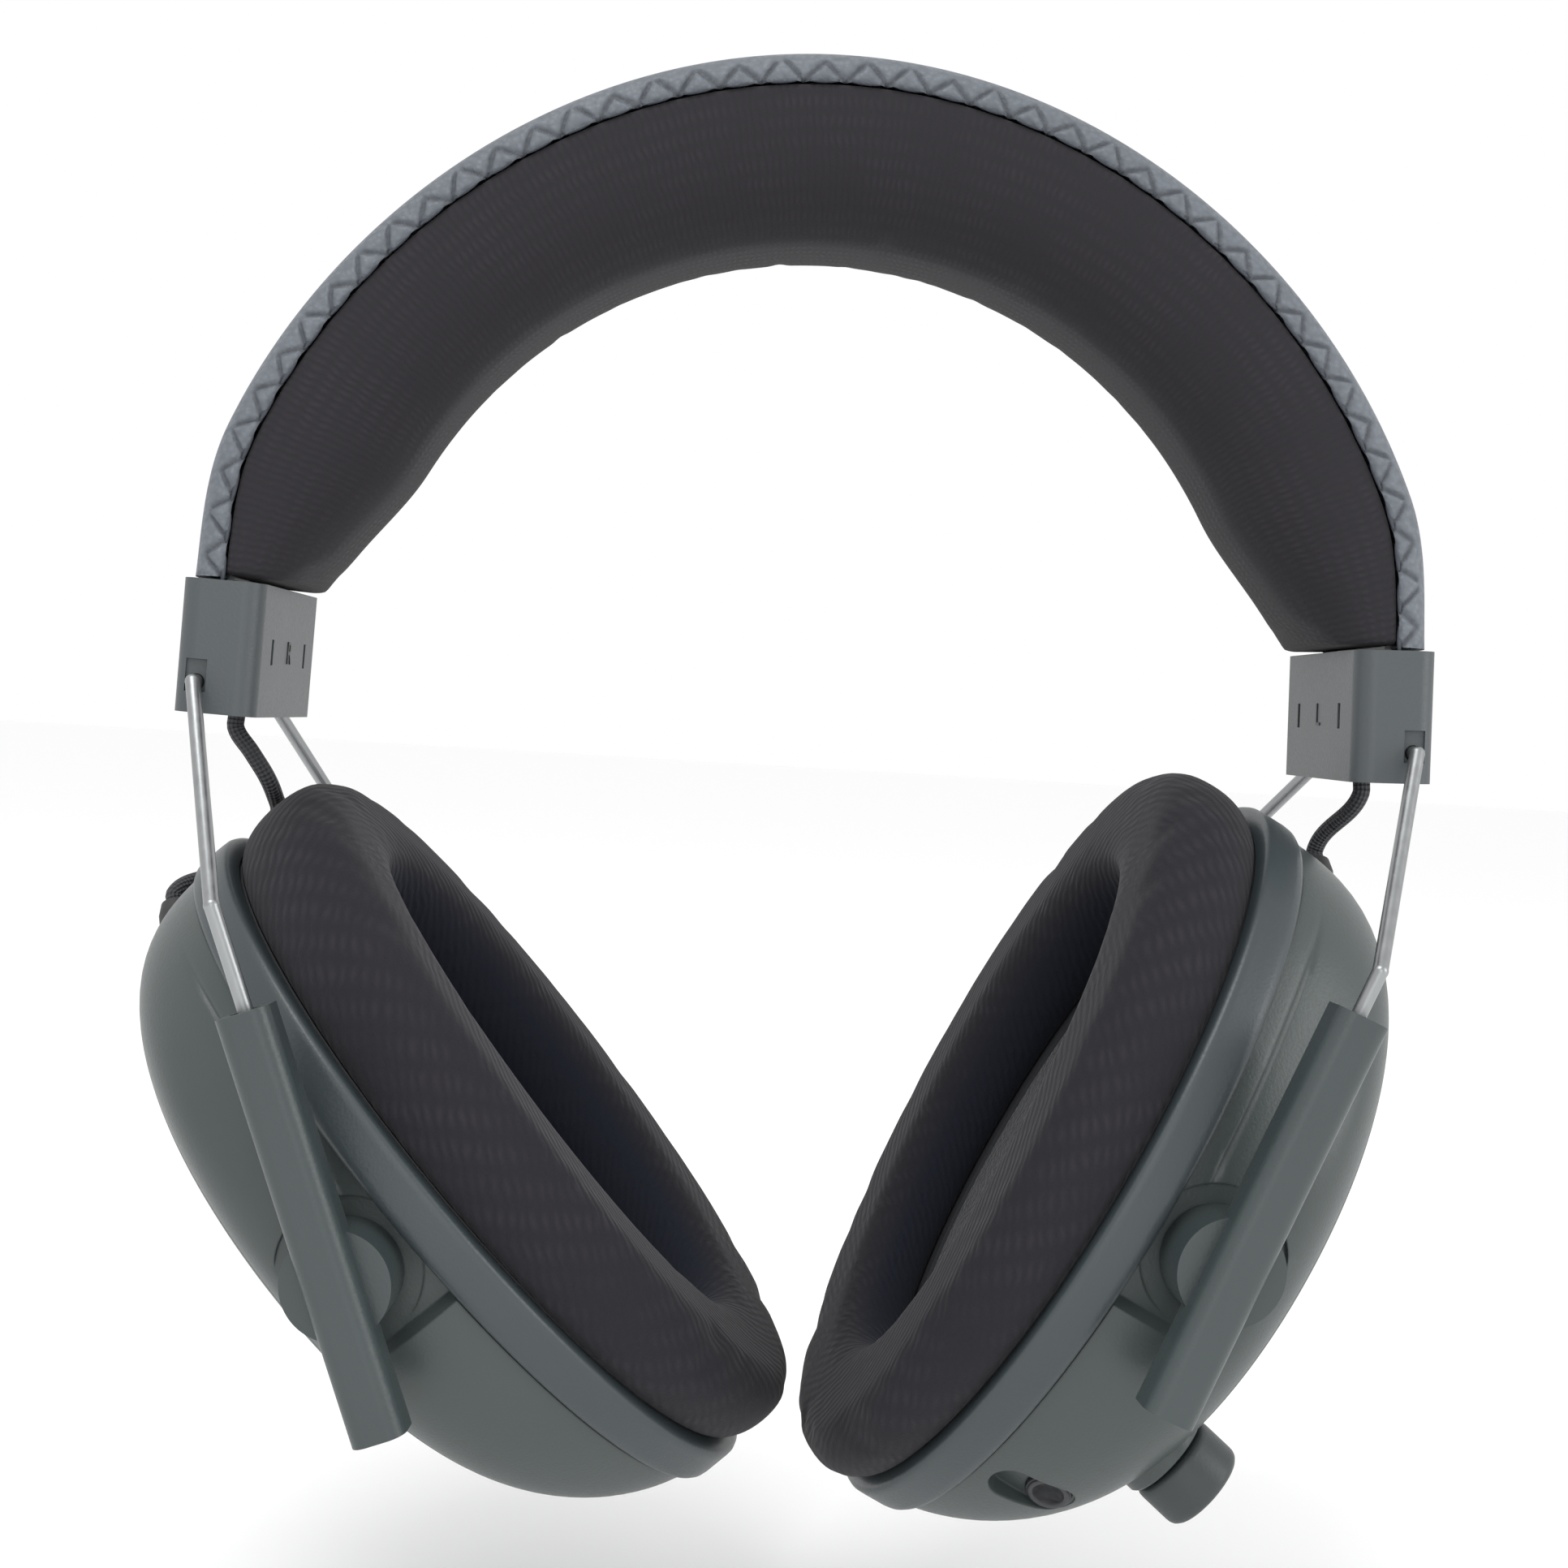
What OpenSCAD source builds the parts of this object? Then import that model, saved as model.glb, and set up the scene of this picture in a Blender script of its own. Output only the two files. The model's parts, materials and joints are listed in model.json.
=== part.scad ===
// Over-ear wireless headset: a padded steel headband, two sliders that run on bent rods,
// and two tilting ear cups. +X is the wearer's left, -Y is the front, +Z is up.
// The origin is the middle of the underside of the crown pad.

/* [Headband] */
// Outer radius of the leather cover over the crown
band_r = 79.5; // [66:0.5:96]
// Radius of the crown pad's underside
pad_r = 58.2; // [50:0.1:64]
// Width of the headband, front to back
band_w = 35.4; // [28:0.2:44]
// Height of the leather side between the crown and its seam
cover_side = 4.6; // [3:0.1:6]
// Width of the steel spring strip
strip_w = 22; // [14:1:26]
// Thickness of the steel spring strip
strip_t = 0.9; // [0.6:0.1:1.4]
// Gap between soft pieces that lie against each other
soft_gap = 0.15; // [0.05:0.05:0.4]

/* [End caps] */
// Thickness of an end cap, side to side
cap_t = 10; // [9:0.1:13]
// Height of an end cap
cap_h = 16.3; // [13:0.1:22]
// Depth of an end cap, front to back
cap_w = 36.4; // [30:0.2:46]
// Wall of an end cap
cap_wall = 1.6; // [1.2:0.1:2]
// Lean of an end cap, its foot outward, in degrees
cap_lean = 1.8; // [0:0.1:5]

/* [Rods and sliders] */
// Diameter of a slider rod
rod_d = 1.8; // [1.4:0.1:2.4]
// Length of the straight part of a rod below its bend
rod_straight = 45; // [36:1:52]
// Diameter of the upset end that stops a rod leaving its tube
rod_stop_d = 2.7; // [2.4:0.1:3.2]
// Running clearance of a rod in its bush, on the radius
rod_clear = 0.05; // [0.02:0.01:0.1]
// Side of a slider tube's square, round-cornered section
tube_w = 6.4; // [6.2:0.1:7.6]
// Length of a slider tube above its pivot
tube_up = 32.4; // [26:0.2:40]
// Length of a slider tube below its pivot
tube_down = 17.5; // [14:0.5:22]
// Straight rod showing above the left tubes
out_left = 5.5; // [1:0.1:24]
// Straight rod showing above the right tubes
out_right = 12.3; // [1:0.1:24]
// Lean of the left tubes, their tops outward, in degrees
lean_left = 23; // [12:0.5:28]
// Lean of the right tubes, their tops outward, in degrees
lean_right = 20.9; // [12:0.1:28]

/* [Ear cups] */
// Half height of the ring round a cup
ring_b = 51; // [44:0.5:60]
// Half width of the ring round a cup
ring_a = 38.4; // [34:0.2:46]
// Height of the ring between the cushion and the shell
ring_h = 6; // [4.5:0.1:7]
// Wall of the ring
ring_wall = 2.6; // [2:0.1:3.4]
// Depth of the left cup, from its cushion to its outer face
depth_left = 29.6; // [27:0.1:34]
// Depth of the right cup, from its cushion to its outer face
depth_right = 26.6; // [25:0.2:34]
// Distance of the pivots from the cushion's back plane
pivot_d = 14; // [12.5:0.1:16]
// Wall of the shells
shell_wall = 2.6; // [2.4:0.1:3.2]
// Thickness of the outer covers
cover_t = 1.2; // [0.8:0.1:1.4]
// Tilt of the left cup, its top outward, in degrees
tilt_left = 28; // [10:0.5:40]
// Tilt of the right cup, its top outward, in degrees
tilt_right = 43.1; // [10:0.1:45]
// Turn of the left cup, its front edge outward, in degrees
turn_left = 4.8; // [0:0.1:8]
// Turn of the right cup, its front edge outward, in degrees
turn_right = 2.5; // [0:0.1:8]

/* [Pivots] */
// Diameter of the disc between a tube and its cup
disc_d = 12.7; // [11:0.1:14]
// Diameter of the pocket that the disc turns in
pocket_d = 17.4; // [15.4:0.1:19]
// Diameter of a pivot pin
pin_d = 4; // [3:0.1:5]
// Running clearance of a pin in its bore, on the radius
pin_clear = 0.05; // [0.02:0.01:0.1]

/* [Cushions] */
// Thickness of the left ear cushion at its upper end
cushion_left = 12.8; // [10:0.1:20]
// Thickness of the right ear cushion at its upper end
cushion_right = 15; // [10:0.1:20]
// How much thinner a cushion is at its lower end
cushion_taper = 4; // [0:0.1:5]
// Width of an ear cushion's roll
roll_w = 17; // [12:0.5:20]
// Thickness of the plate that an ear cushion clips on by
plate_t = 1.4; // [1:0.1:2]

/* [Drivers] */
// Diameter of a driver
driver_d = 40; // [32:1:44]
// Height of a driver's basket
basket_h = 5.4; // [4:0.1:6.4]
// Diameter of a driver's magnet
magnet_d = 19; // [14:0.5:24]
// Height of a driver's magnet
magnet_h = 4.6; // [3:0.1:5]

/* [Controls] */
// Diameter of the volume knob
knob_d = 11.8; // [9:0.1:13]
// Height of the volume knob
knob_h = 6.2; // [5:0.1:9]
// Diameter of a push button
button_d = 5.2; // [4:0.1:6.4]
// Travel of a push button
button_travel = 0.8; // [0.4:0.1:1.2]
// Bore of the boom microphone's socket
mic_bore_d = 3.6; // [3.5:0.1:4]
// Bore of the wired audio socket
aux_bore_d = 3.6; // [3.5:0.1:4]

/* [Hidden] */
LEFT = 0;
RIGHT = 1;
SIDES = [LEFT, RIGHT];
ENDS = [-1, 1];
$fn = 48;

// Headband: the arc's middle lies below the crown; the cover narrows into the caps
band_wall = band_r - pad_r;
arc_z = -pad_r + 0.6;
cap_x = band_r - 7.5;
cap_z = arc_z + 2.2;
cap_top_gap = 0.4;
band_foot = cap_z - arc_z + cap_h / 2 + cap_top_gap;
band_end = 90 - asin(band_foot / (band_r - 2.4));
knee = band_end - 20;
stations = 40;
cap_slot_clear = 0.2;
strip_end = 5.4;
cap_foot_x = 1;
cable_hole_clear = 0.25;

// Rods and sliders
rod_r = rod_d / 2;
hook_y = cap_w / 2 + 1;
hook_x = 2.3;
hook_z = -4.4;
hook_in = 6;
bend_x = [band_r - 17.7, band_r - 15.7];
bend_z = cap_z - 29;
tube_gap = 0.6;
tube_y = ring_a + tube_gap + tube_w / 2;
bush_len = 4;
bush_wall = 0.8;
bush_r = rod_r + rod_clear + bush_wall;
tube_bore_r = rod_stop_d / 2 + 0.35;
out = [out_left, out_right];
lean = [lean_left, lean_right];
turn = [turn_left, turn_right];
tilt = [tilt_left, tilt_right];
depth = [depth_left, depth_right];
cushion = [cushion_left, cushion_right];
press = 0.02;
bend_bulge = 0.04;

// Cup: d is the distance outward from the cushion's back plane, y is along the pivot axis
flat = 0.05;
dome_a = ring_a - 1;
dome_b = ring_b - 1;
edge_side = 5;
edge_top = 3.5;
edge_bottom = 2.5;
seam_at = 0.84;
seam_gap = 0.3;
around = 40;
pocket_floor = dome_a - 2.8;
disc_gap = 0.35;
pin_head_r = pin_d / 2 + 1.3;
pin_head_t = 1;
boss_floor = pocket_floor - 4.2;
board_clear = 0.4;
plate_gap = 0.1;
baffle_d0 = plate_t + 0.2;
baffle_t = 1.8;
baffle_top = baffle_d0 + baffle_t;
baffle_inset = ring_wall + 0.2;
screw_r = 0.9;
screw_head_r = 2.1;
screw_at = [[0.375 * dome_a, 0.76 * dome_b], [0.72 * dome_a, -0.4 * dome_b]];
opening_a = ring_a - roll_w;
opening_b = ring_b - roll_w;

// Volume knob: on the lower front of the left cup's outer face
knob_y = -17;
knob_z = -24.6;
knob_lean = [8, 12];
knob_foot = 1.2;
knob_gap = 0.35;
shaft_r = 2;
// Places round a cup's side, as angles from the back, and their depth
mic_at = 227;
mic_d = 13.5;
power_at = 322;
mute_at = 309;
button_depth = 15;
charge_at = 285;
aux_at = 262;
socket_depth = 13;
light_at = 296;

// Cables that link the headband to each cup, from the cap's foot to the gland
cable_r = 1.1;
cable_step = 1.7;
gland_d = 14.5;
gland_y = 3;
gland_z = 0.955 * dome_b;
gland_lean = [-30, -25];

// ---- Shared shapes ----

// Sets its children on the wearer's left as drawn, or mirrored on the right
module on_side(side) {
    if (side == LEFT) children();
    else mirror([1, 0, 0]) children();
}

// A solid from closed loops of points, each joined to the next; the ends are closed or joined
module loft(loops, closed = false) {
    n = len(loops);
    m = len(loops[0]);
    last = closed ? n : n - 1;
    sides = [for (i = [0 : last - 1]) for (j = [0 : m - 1])
        [i * m + j, i * m + (j + 1) % m, ((i + 1) % n) * m + (j + 1) % m, ((i + 1) % n) * m + j]];
    caps = closed ? [] : [[for (j = [m - 1 : -1 : 0]) j], [for (j = [0 : m - 1]) (n - 1) * m + j]];
    polyhedron(points = [for (l = loops) each l], faces = concat(sides, caps), convexity = 6);
}

// Points of an oval, for an extruded plate
function oval(a, b, n = 48) = [for (i = [0 : n - 1]) [a * cos(360 * i / n), b * sin(360 * i / n)]];

// A plate with an oval outline in the cup's frame, between two depths
module oval_plate(a, b, from, to) {
    translate([from, 0, 0]) rotate([90, 0, 90]) linear_extrude(to - from) polygon(oval(a, b));
}

// A cylinder along x in the cup's frame, between two depths
module post(r, from, to, y = 0, z = 0) {
    translate([from, y, z]) rotate([0, 90, 0]) cylinder(r = r, h = to - from);
}

// A straight round bar between two points
module bar(from, to, r) {
    v = to - from;
    translate(from) rotate([0, acos(v.z / norm(v)), atan2(v.y, v.x)]) cylinder(r = r, h = norm(v));
}

// The frame of an end cap: its middle at the origin
module at_cap(side) {
    on_side(side) translate([cap_x, 0, cap_z]) rotate([0, -cap_lean, 0]) children();
}

// Where a cup's pivot axis crosses the middle of the cup
function pivot(side) =
    let (reach = tube_up + out[side])
    [bend_x[side] - reach * sin(lean[side]) * cos(turn[side]), 0, bend_z - reach * cos(lean[side])];

// The frame of a slider: the pivot axis is y, the rods run along z
module at_slider(side) {
    on_side(side) translate(pivot(side)) rotate([0, 0, turn[side]]) rotate([0, lean[side], 0]) children();
}

// The frame of a cup: x is the depth from the cushion's back plane, y the pivot axis, z up the cup
module at_cup(side) {
    on_side(side) translate(pivot(side)) rotate([0, 0, turn[side]]) rotate([0, tilt[side], 0])
        translate([-pivot_d, 0, 0]) children();
}

// A point of a slider in the headband's frame, and one of a cup, both as drawn for the left
function slider_point(side, y, z) =
    let (l = lean[side], t = turn[side], p = pivot(side), x = z * sin(l))
    [p.x + x * cos(t) - y * sin(t), p.y + x * sin(t) + y * cos(t), p.z + z * cos(l)];
function cup_point(side, v) =
    let (a = tilt[side], t = turn[side], p = pivot(side), d = v.x - pivot_d, x = d * cos(a) + v.z * sin(a))
    [p.x + x * cos(t) - v.y * sin(t), x * sin(t) + v.y * cos(t), p.z - d * sin(a) + v.z * cos(a)];

// ---- Headband ----

function smooth(t) = let (u = min(max(t, 0), 1)) u * u * (3 - 2 * u);
function cover_top(f) = band_r - 2.4 * smooth((abs(f) - knee - 6) / 16) - 0.8 * pow(sin(2 * f), 2);
function seam_r(f) = cover_top(f) - cover_side;
function strip_r(f) = band_r - 6.9 + 4 * cos(f) - 0.8 * pow(sin(2 * f), 2);
function pad_under(f) = pad_r - 0.6 * cos(f) + 8.6 * smooth((abs(f) - knee) / 28);

// A point of the headband at angle f from the crown, at radius r and place y; flat above the caps
function arch(f, r, y) = [r * sin(f), y, arc_z + max(r * cos(f), band_foot)];
function sweep_angle(i) = -band_end + 2 * band_end * i / stations;

// The leather cover's section: a flat foot with a channel for the strip, and a crowned top
function cover_section(f) =
    let (top = cover_top(f), foot = seam_r(f), w = band_w / 2,
         slot = strip_r(f) + strip_t / 2 + soft_gap, half = strip_w / 2 + soft_gap)
    concat([for (k = [0 : 8]) let (a = 180 * k / 8)
                arch(f, foot + (top - foot) * pow(sin(a), 0.6), -w * (cos(a) < 0 ? -1 : 1) * pow(abs(cos(a)), 0.35))],
           [arch(f, foot, half), arch(f, max(slot, foot + 0.4), half),
            arch(f, max(slot, foot + 0.4), -half), arch(f, foot, -half)]);

module headband_cover() {
    color("slategray") loft([for (i = [0 : stations]) cover_section(sweep_angle(i))]);
}

// The pad's section: flat against the cover, then round underneath
function pad_section(f) =
    let (top = seam_r(f) - soft_gap, under = pad_under(f), w = band_w / 2,
         slot = min(strip_r(f) - strip_t / 2 - soft_gap, top - 0.4), half = strip_w / 2 + soft_gap)
    concat([for (k = [0 : 10]) let (a = 180 * k / 10)
                arch(f, top - (top - under) * pow(sin(a), 0.75), w * (cos(a) < 0 ? -1 : 1) * pow(abs(cos(a)), 0.5))],
           [arch(f, top, -half), arch(f, slot, -half), arch(f, slot, half), arch(f, top, half)]);

module crown_pad() {
    color("#2b2a2e") loft([for (i = [0 : stations]) pad_section(sweep_angle(i))]);
}

// A strip of spring steel, bent to the arch, with an end that reaches down into each cap
module band_spring() {
    color("silver") {
        loft([for (i = [0 : stations]) let (f = sweep_angle(i))
            [arch(f, strip_r(f) - strip_t / 2, -strip_w / 2), arch(f, strip_r(f) + strip_t / 2, -strip_w / 2),
             arch(f, strip_r(f) + strip_t / 2, strip_w / 2), arch(f, strip_r(f) - strip_t / 2, strip_w / 2)]]);
        for (side = SIDES) on_side(side) strip_tongue();
    }
}

module strip_tongue() {
    top = arch(band_end, strip_r(band_end), 0);
    difference() {
        translate([top.x - strip_t / 2, -strip_w / 2, cap_z - cap_h / 2 + strip_end])
            cube([strip_t, strip_w, top.z - cap_z + cap_h / 2 - strip_end + 0.1]);
        for (y = ENDS) strip_screw_line(y) cylinder(r = screw_r + 0.15, h = 30, center = true);
    }
}

// The lines of the two screws that hold the strip to a cap's insert
module strip_screw_line(y) {
    translate([cap_x, y * strip_w / 4, cap_z - 1]) rotate([0, 90, 0]) children();
}

// A round-cornered block, its middle at the origin
module round_block(x, y, z, r) {
    for (i = ENDS) for (j = ENDS)
        translate([i * (x / 2 - r), j * (y / 2 - r), -z / 2]) cylinder(r = r, h = z);
    translate([-x / 2 + r, -y / 2, -z / 2]) cube([x - 2 * r, y, z]);
    translate([-x / 2, -y / 2 + r, -z / 2]) cube([x, y - 2 * r, z]);
}

// The moulded cap that closes an end of the headband and holds the two rods
module end_cap(side) {
    cavity = cap_h - cap_wall;
    color("#4a5150") at_cap(side) difference() {
        round_block(cap_t, cap_w, cap_h, 2.6);
        translate([0, 0, cap_wall]) round_block(cap_t - 2 * cap_wall, cap_w - 2 * cap_wall, cap_h, 1);
        for (y = ENDS) {
            translate([hook_x, y * cap_w / 2, hook_z]) rotate([90, 0, 0])
                cylinder(r = rod_r + 0.1, h = 2 * cap_wall + 2, center = true);
            translate([hook_x - 1.3, y * cap_w / 2 - 0.7, hook_z - 1.2]) cube([2.6, 1.4, 4]);
            translate([-cap_t / 2 - 0.1, y * 10 - 0.6, -1.6]) cube([0.8, 1.2, 3.2]);
        }
        translate([cap_foot_x, 0, -cap_h / 2]) cylinder(r = cable_r + cable_hole_clear, h = 3 * cap_wall, center = true);
    }
}

// The block inside a cap: the strip is screwed to it and the rods hook into it
module cap_insert(side) {
    x0 = 0.6;
    x1 = cap_t / 2 - cap_wall - cap_slot_clear;
    depth_y = cap_w - 2 * cap_wall - 6 * cap_slot_clear;
    color("dimgray") difference() {
        at_cap(side) translate([x0, -depth_y / 2, -cap_h / 2 + cap_wall + 1.2]) cube([x1 - x0, depth_y, cap_h - 7]);
        at_cap(side) for (y = ENDS) {
            translate([hook_x, y * cap_w / 2, hook_z]) rotate([90, 0, 0])
                cylinder(r = rod_r + press, h = 2 * hook_in + 2, center = true);
        }
        at_cap(side) translate([x0 - 1, -3, -cap_h / 2]) cube([x1 + 2, 6, cap_h]);
        at_cap(side) translate([x0 - 1, -strip_w / 2 - 0.3, -cap_h / 2]) cube([1.7, strip_w + 0.6, cap_h]);
        on_side(side) for (y = ENDS) strip_screw_line(y) cylinder(r = screw_r + press, h = 30, center = true);
    }
}

// Short screws through the strip's ends
module cap_screws() {
    color("silver") for (side = SIDES) on_side(side) for (y = ENDS)
        translate([arch(band_end, strip_r(band_end), 0).x, y * strip_w / 4, cap_z - 1]) rotate([0, 90, 0]) {
            translate([0, 0, -strip_t / 2 - 0.8]) cylinder(r = 1.8, h = 0.75);
            translate([0, 0, -strip_t / 2 - 0.1]) cylinder(r = screw_r, h = 3.2);
        }
}

// ---- Rods ----

function cap_point(x, y, z) =
    let (l = cap_lean) [cap_x + x * cos(l) - z * sin(l), y, cap_z + z * cos(l) + x * sin(l)];
function hook_point(y, in) = cap_point(hook_x, y * (hook_y - in), hook_z);

// A bent steel rod: hooked into the cap, splayed down to its bend, then straight into its tube
module rod(side, y) {
    top = tube_up + out[side];
    points = [hook_point(y, hook_in), hook_point(y, 0), slider_point(side, y * tube_y, top),
        slider_point(side, y * tube_y, top - rod_straight)];
    color("lightgray") on_side(side) {
        for (k = [0 : 2]) bar(points[k], points[k + 1], rod_r);
        for (k = [1 : 2]) translate(points[k]) sphere(r = rod_r + bend_bulge);
        bar(slider_point(side, y * tube_y, top - rod_straight + 1.6), points[3], rod_stop_d / 2);
    }
}

// ---- Sliders ----

// A slider tube with its pivot disc; a rod runs in its bore, and its foot is closed
module tube(side, y) {
    mid = y * tube_y;
    inner = y * (pocket_floor + disc_gap);
    color("#47504e") at_slider(side) difference() {
        union() {
            translate([0, mid, (tube_up - tube_down) / 2]) round_block(tube_w, tube_w, tube_up + tube_down, 2);
            translate([0, inner, 0]) rotate([y * -90, 0, 0]) cylinder(d = disc_d, h = tube_y - pocket_floor - disc_gap);
        }
        translate([0, mid, -tube_down + cap_wall]) cylinder(r = tube_bore_r, h = tube_up + tube_down);
        translate([0, mid, tube_up - bush_len]) cylinder(r = bush_r + press, h = bush_len + 1);
        translate([0, inner, 0]) rotate([y * -90, 0, 0])
            translate([0, 0, -1]) cylinder(r = pin_d / 2 + press, h = 1 + disc_seat());
    }
}

function disc_seat() = tube_y - tube_w / 2 - pocket_floor;

// Bushes in the tubes' mouths, which the rods slide through
module slider_bushes(side) {
    color("darkgray") at_slider(side) for (y = ENDS)
        translate([0, y * tube_y, tube_up - bush_len]) difference() {
            cylinder(r = bush_r, h = bush_len - 0.2);
            translate([0, 0, -1]) cylinder(r = rod_r + rod_clear, h = bush_len + 2);
        }
}

// Headed pins, fixed in the discs, that the cup turns on
module pivot_pins(side) {
    tip = pocket_floor + disc_seat() - 0.3;
    head = boss_floor - disc_gap;
    color("silver") at_slider(side) for (y = ENDS) {
        translate([0, y * head, 0]) rotate([y * -90, 0, 0]) cylinder(d = pin_d, h = tip - head);
        translate([0, y * (head - pin_head_t), 0]) rotate([y * -90, 0, 0])
            cylinder(r = pin_head_r, h = pin_head_t + 0.01);
    }
}

// ---- Ear cups ----

// How square the dome's edge is, at angle f round the cup
function edge(f) = edge_side * pow(cos(f), 2) + (sin(f) > 0 ? edge_top : edge_bottom) * pow(sin(f), 2);

// A point of the dome, set in by a wall w: f round the cup, q from the foot (0) to the crown (90)
function dome(side, w, f, q) =
    let (e = 2 / edge(f), s = pow(cos(q), e))
    [(depth[side] - w) * pow(sin(q), e), (dome_a - w) * cos(f) * s, (dome_b - w) * sin(f) * s];
// The dome angle at which the depth is d
function angle_of_depth(side, w, f, d) = asin(pow(d / (depth[side] - w), edge(f) / 2));

// One row of points round the dome
function dome_row(side, w, q) = [for (i = [0 : around - 1]) dome(side, w, 360 * i / around, q)];
// A row at a set depth, and a row where the outline has shrunk to the seam, less a gap
function depth_row(side, w, d) =
    [for (i = [0 : around - 1]) let (f = 360 * i / around) dome(side, w, f, angle_of_depth(side, w, f, d))];
function seam_angle(w, f, gap) = acos(pow((seam_at * dome_a + gap) / (dome_a - w), edge(f) / 2));
// Rows between the seam and the crown
function crown_rows(side, w, gap, rows) = [for (k = rows) [for (i = [0 : around - 1])
    let (f = 360 * i / around, q = seam_angle(w, f, gap)) dome(side, w, f, q + (86 - q) * k)]];

// A solid from rows of points that end in a point at each end
module bowl(rows, first, last) {
    n = len(rows);
    top = n * around;
    sides = [for (i = [0 : n - 2]) for (j = [0 : around - 1]) let (a = i * around, b = a + around, k = (j + 1) % around)
        [a + j, b + j, b + k, a + k]];
    start = [for (j = [0 : around - 1]) [top, j, (j + 1) % around]];
    end = [for (j = [0 : around - 1]) [top + 1, top - around + (j + 1) % around, top - around + j]];
    polyhedron(points = concat([for (r = rows) each r], [first, last]), faces = concat(sides, start, end),
        convexity = 6);
}

// The dome filled in, set in by a wall w
module dome_block(side, w = 0) {
    bowl([for (q = [0, 10, 22, 36, 52, 70, 84]) dome_row(side, w, q)], [0, 0, 0], [depth[side] - w, 0, 0]);
}

// A disc-shaped pocket or a bore on the pivot axis, from y0 outward, front and back
module pivot_hole(r, y0, reach = 60) {
    for (y = ENDS) translate([pivot_d, y * y0, 0]) rotate([y * -90, 0, 0]) cylinder(r = r, h = reach);
}

// A place on the cup's side at angle f and depth d: children's z points straight out of it
module at_rim(side, f, d) {
    p = dome(side, 0, f, angle_of_depth(side, 0, f, d));
    translate([d, p.y, p.z]) rotate([-90 + atan2(p.z / pow(dome_b, 2), p.y / pow(dome_a, 2)), 0, 0]) children();
}

// The screws that hold the shell to the baffle
module at_screws() {
    for (y = ENDS) for (s = screw_at) translate([0, y * s.x, s.y]) children();
}

// The shell: full depth round its side, and lower by the cover's thickness inside the seam
module shell_form(side) {
    under = cover_t + soft_gap;
    inner = [for (k = [0.9, 0.6, 0.3, 0]) crown_rows(side, shell_wall, 0, [k])[0]];
    foot_in = depth_row(side, shell_wall, ring_h + flat);
    foot_out = depth_row(side, 0, ring_h + flat);
    side_rows = [for (t = [0.25, 0.5, 0.75, 1]) [for (i = [0 : around - 1])
        let (f = 360 * i / around, a = angle_of_depth(side, 0, f, ring_h + flat), b = seam_angle(0, f, seam_gap))
        dome(side, 0, f, a + (b - a) * t)]];
    bowl(concat(inner, [foot_in, foot_out], side_rows, crown_rows(side, under, seam_gap, [0, 0.3, 0.6, 0.9])),
        [depth[side] - shell_wall, 0, 0], [depth[side] - under, 0, 0]);
}

module outer_shell(side) {
    color("#465250") at_cup(side) difference() {
        union() {
            shell_form(side);
            intersection() {
                dome_block(side, (shell_wall + cover_t) / 2);
                union() {
                    pivot_hole(pocket_d / 2 + 1.6, boss_floor, dome_a - boss_floor);
                    at_screws() post(2.6, baffle_top + plate_gap, 40);
                }
            }
        }
        pivot_hole(pocket_d / 2, pocket_floor);
        pivot_hole(pin_d / 2 + pin_clear, boss_floor - 1);
        at_screws() post(screw_r + press, 0, 11);
        gland_line() cylinder(r = 2.3, h = 12, center = true);
        if (side == LEFT) control_holes();
        if (side == LEFT) knob_line() cylinder(r = shaft_r + 0.5, h = 30, center = true);
    }
}

// The cut-outs for the sockets, buttons and light in the left shell
module control_holes() {
    at_rim(LEFT, mic_at, mic_d) {
        for (x = [-2.6, 2.6]) translate([x, 0, -2]) cylinder(r = 2.9, h = 10);
        translate([-2.6, -2.9, -2]) cube([5.2, 5.8, 10]);
        translate([2.2, 0, -12]) cylinder(r = 2.9, h = 12);
    }
    for (f = [power_at, mute_at]) at_rim(LEFT, f, button_depth)
        translate([0, 0, -8]) cylinder(r = button_d / 2 + 0.2, h = 20);
    at_rim(LEFT, charge_at, socket_depth) translate([0, 0, -8]) pill(1.8, 9.4, 20);
    at_rim(LEFT, aux_at, socket_depth) translate([0, 0, -12]) cylinder(r = 2.9, h = 24);
    at_rim(LEFT, light_at, socket_depth) translate([0, 0, -8]) cylinder(r = 1.1, h = 20);
}

// A slot with round ends, long along y
module pill(r, length, h) {
    for (y = ENDS) translate([0, y * (length / 2 - r), 0]) cylinder(r = r, h = h);
    translate([-r, -length / 2 + r, 0]) cube([2 * r, length - 2 * r, h]);
}

// The domed plate that closes a cup's outer face
module outer_cover(side) {
    color("#43504e") at_cup(side) difference() {
        union() {
            bowl(concat(crown_rows(side, cover_t, 0, [0.9, 0.6, 0.3, 0]), crown_rows(side, 0, 0, [0, 0.3, 0.6, 0.9])),
                [depth[side] - cover_t, 0, 0], [depth[side], 0, 0]);
            if (side == LEFT) knob_seat_boss();
        }
        pivot_hole(pocket_d / 2, pocket_floor);
        if (side == LEFT) knob_line() cylinder(r = shaft_r + pin_clear, h = 30, center = true);
    }
}

// The round seat under the volume knob
module knob_seat_boss() {
    difference() {
        knob_line() translate([0, 0, -4]) cylinder(r = knob_d / 2 + 0.3, h = 4 + knob_foot);
        dome_block(LEFT, cover_t * 0.7);
    }
}

// The knob's axis, its origin on the cover's outer face
knob_seat = let (s = norm([knob_y / dome_a, knob_z / dome_b]), e = edge(atan2(knob_z / dome_b, knob_y / dome_a)))
    depth_left * pow(1 - pow(s, e), 1 / e);

module knob_line() {
    translate([knob_seat, knob_y, knob_z]) rotate([0, 90 + knob_lean[1], 0]) rotate([knob_lean[0], 0, 0]) children();
}

// The gland's nozzle points up the cup, leaning back and toward the cushion
module gland_line() {
    translate([gland_d, gland_y, gland_z]) rotate([gland_lean[0], gland_lean[1], 0]) children();
}

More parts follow.
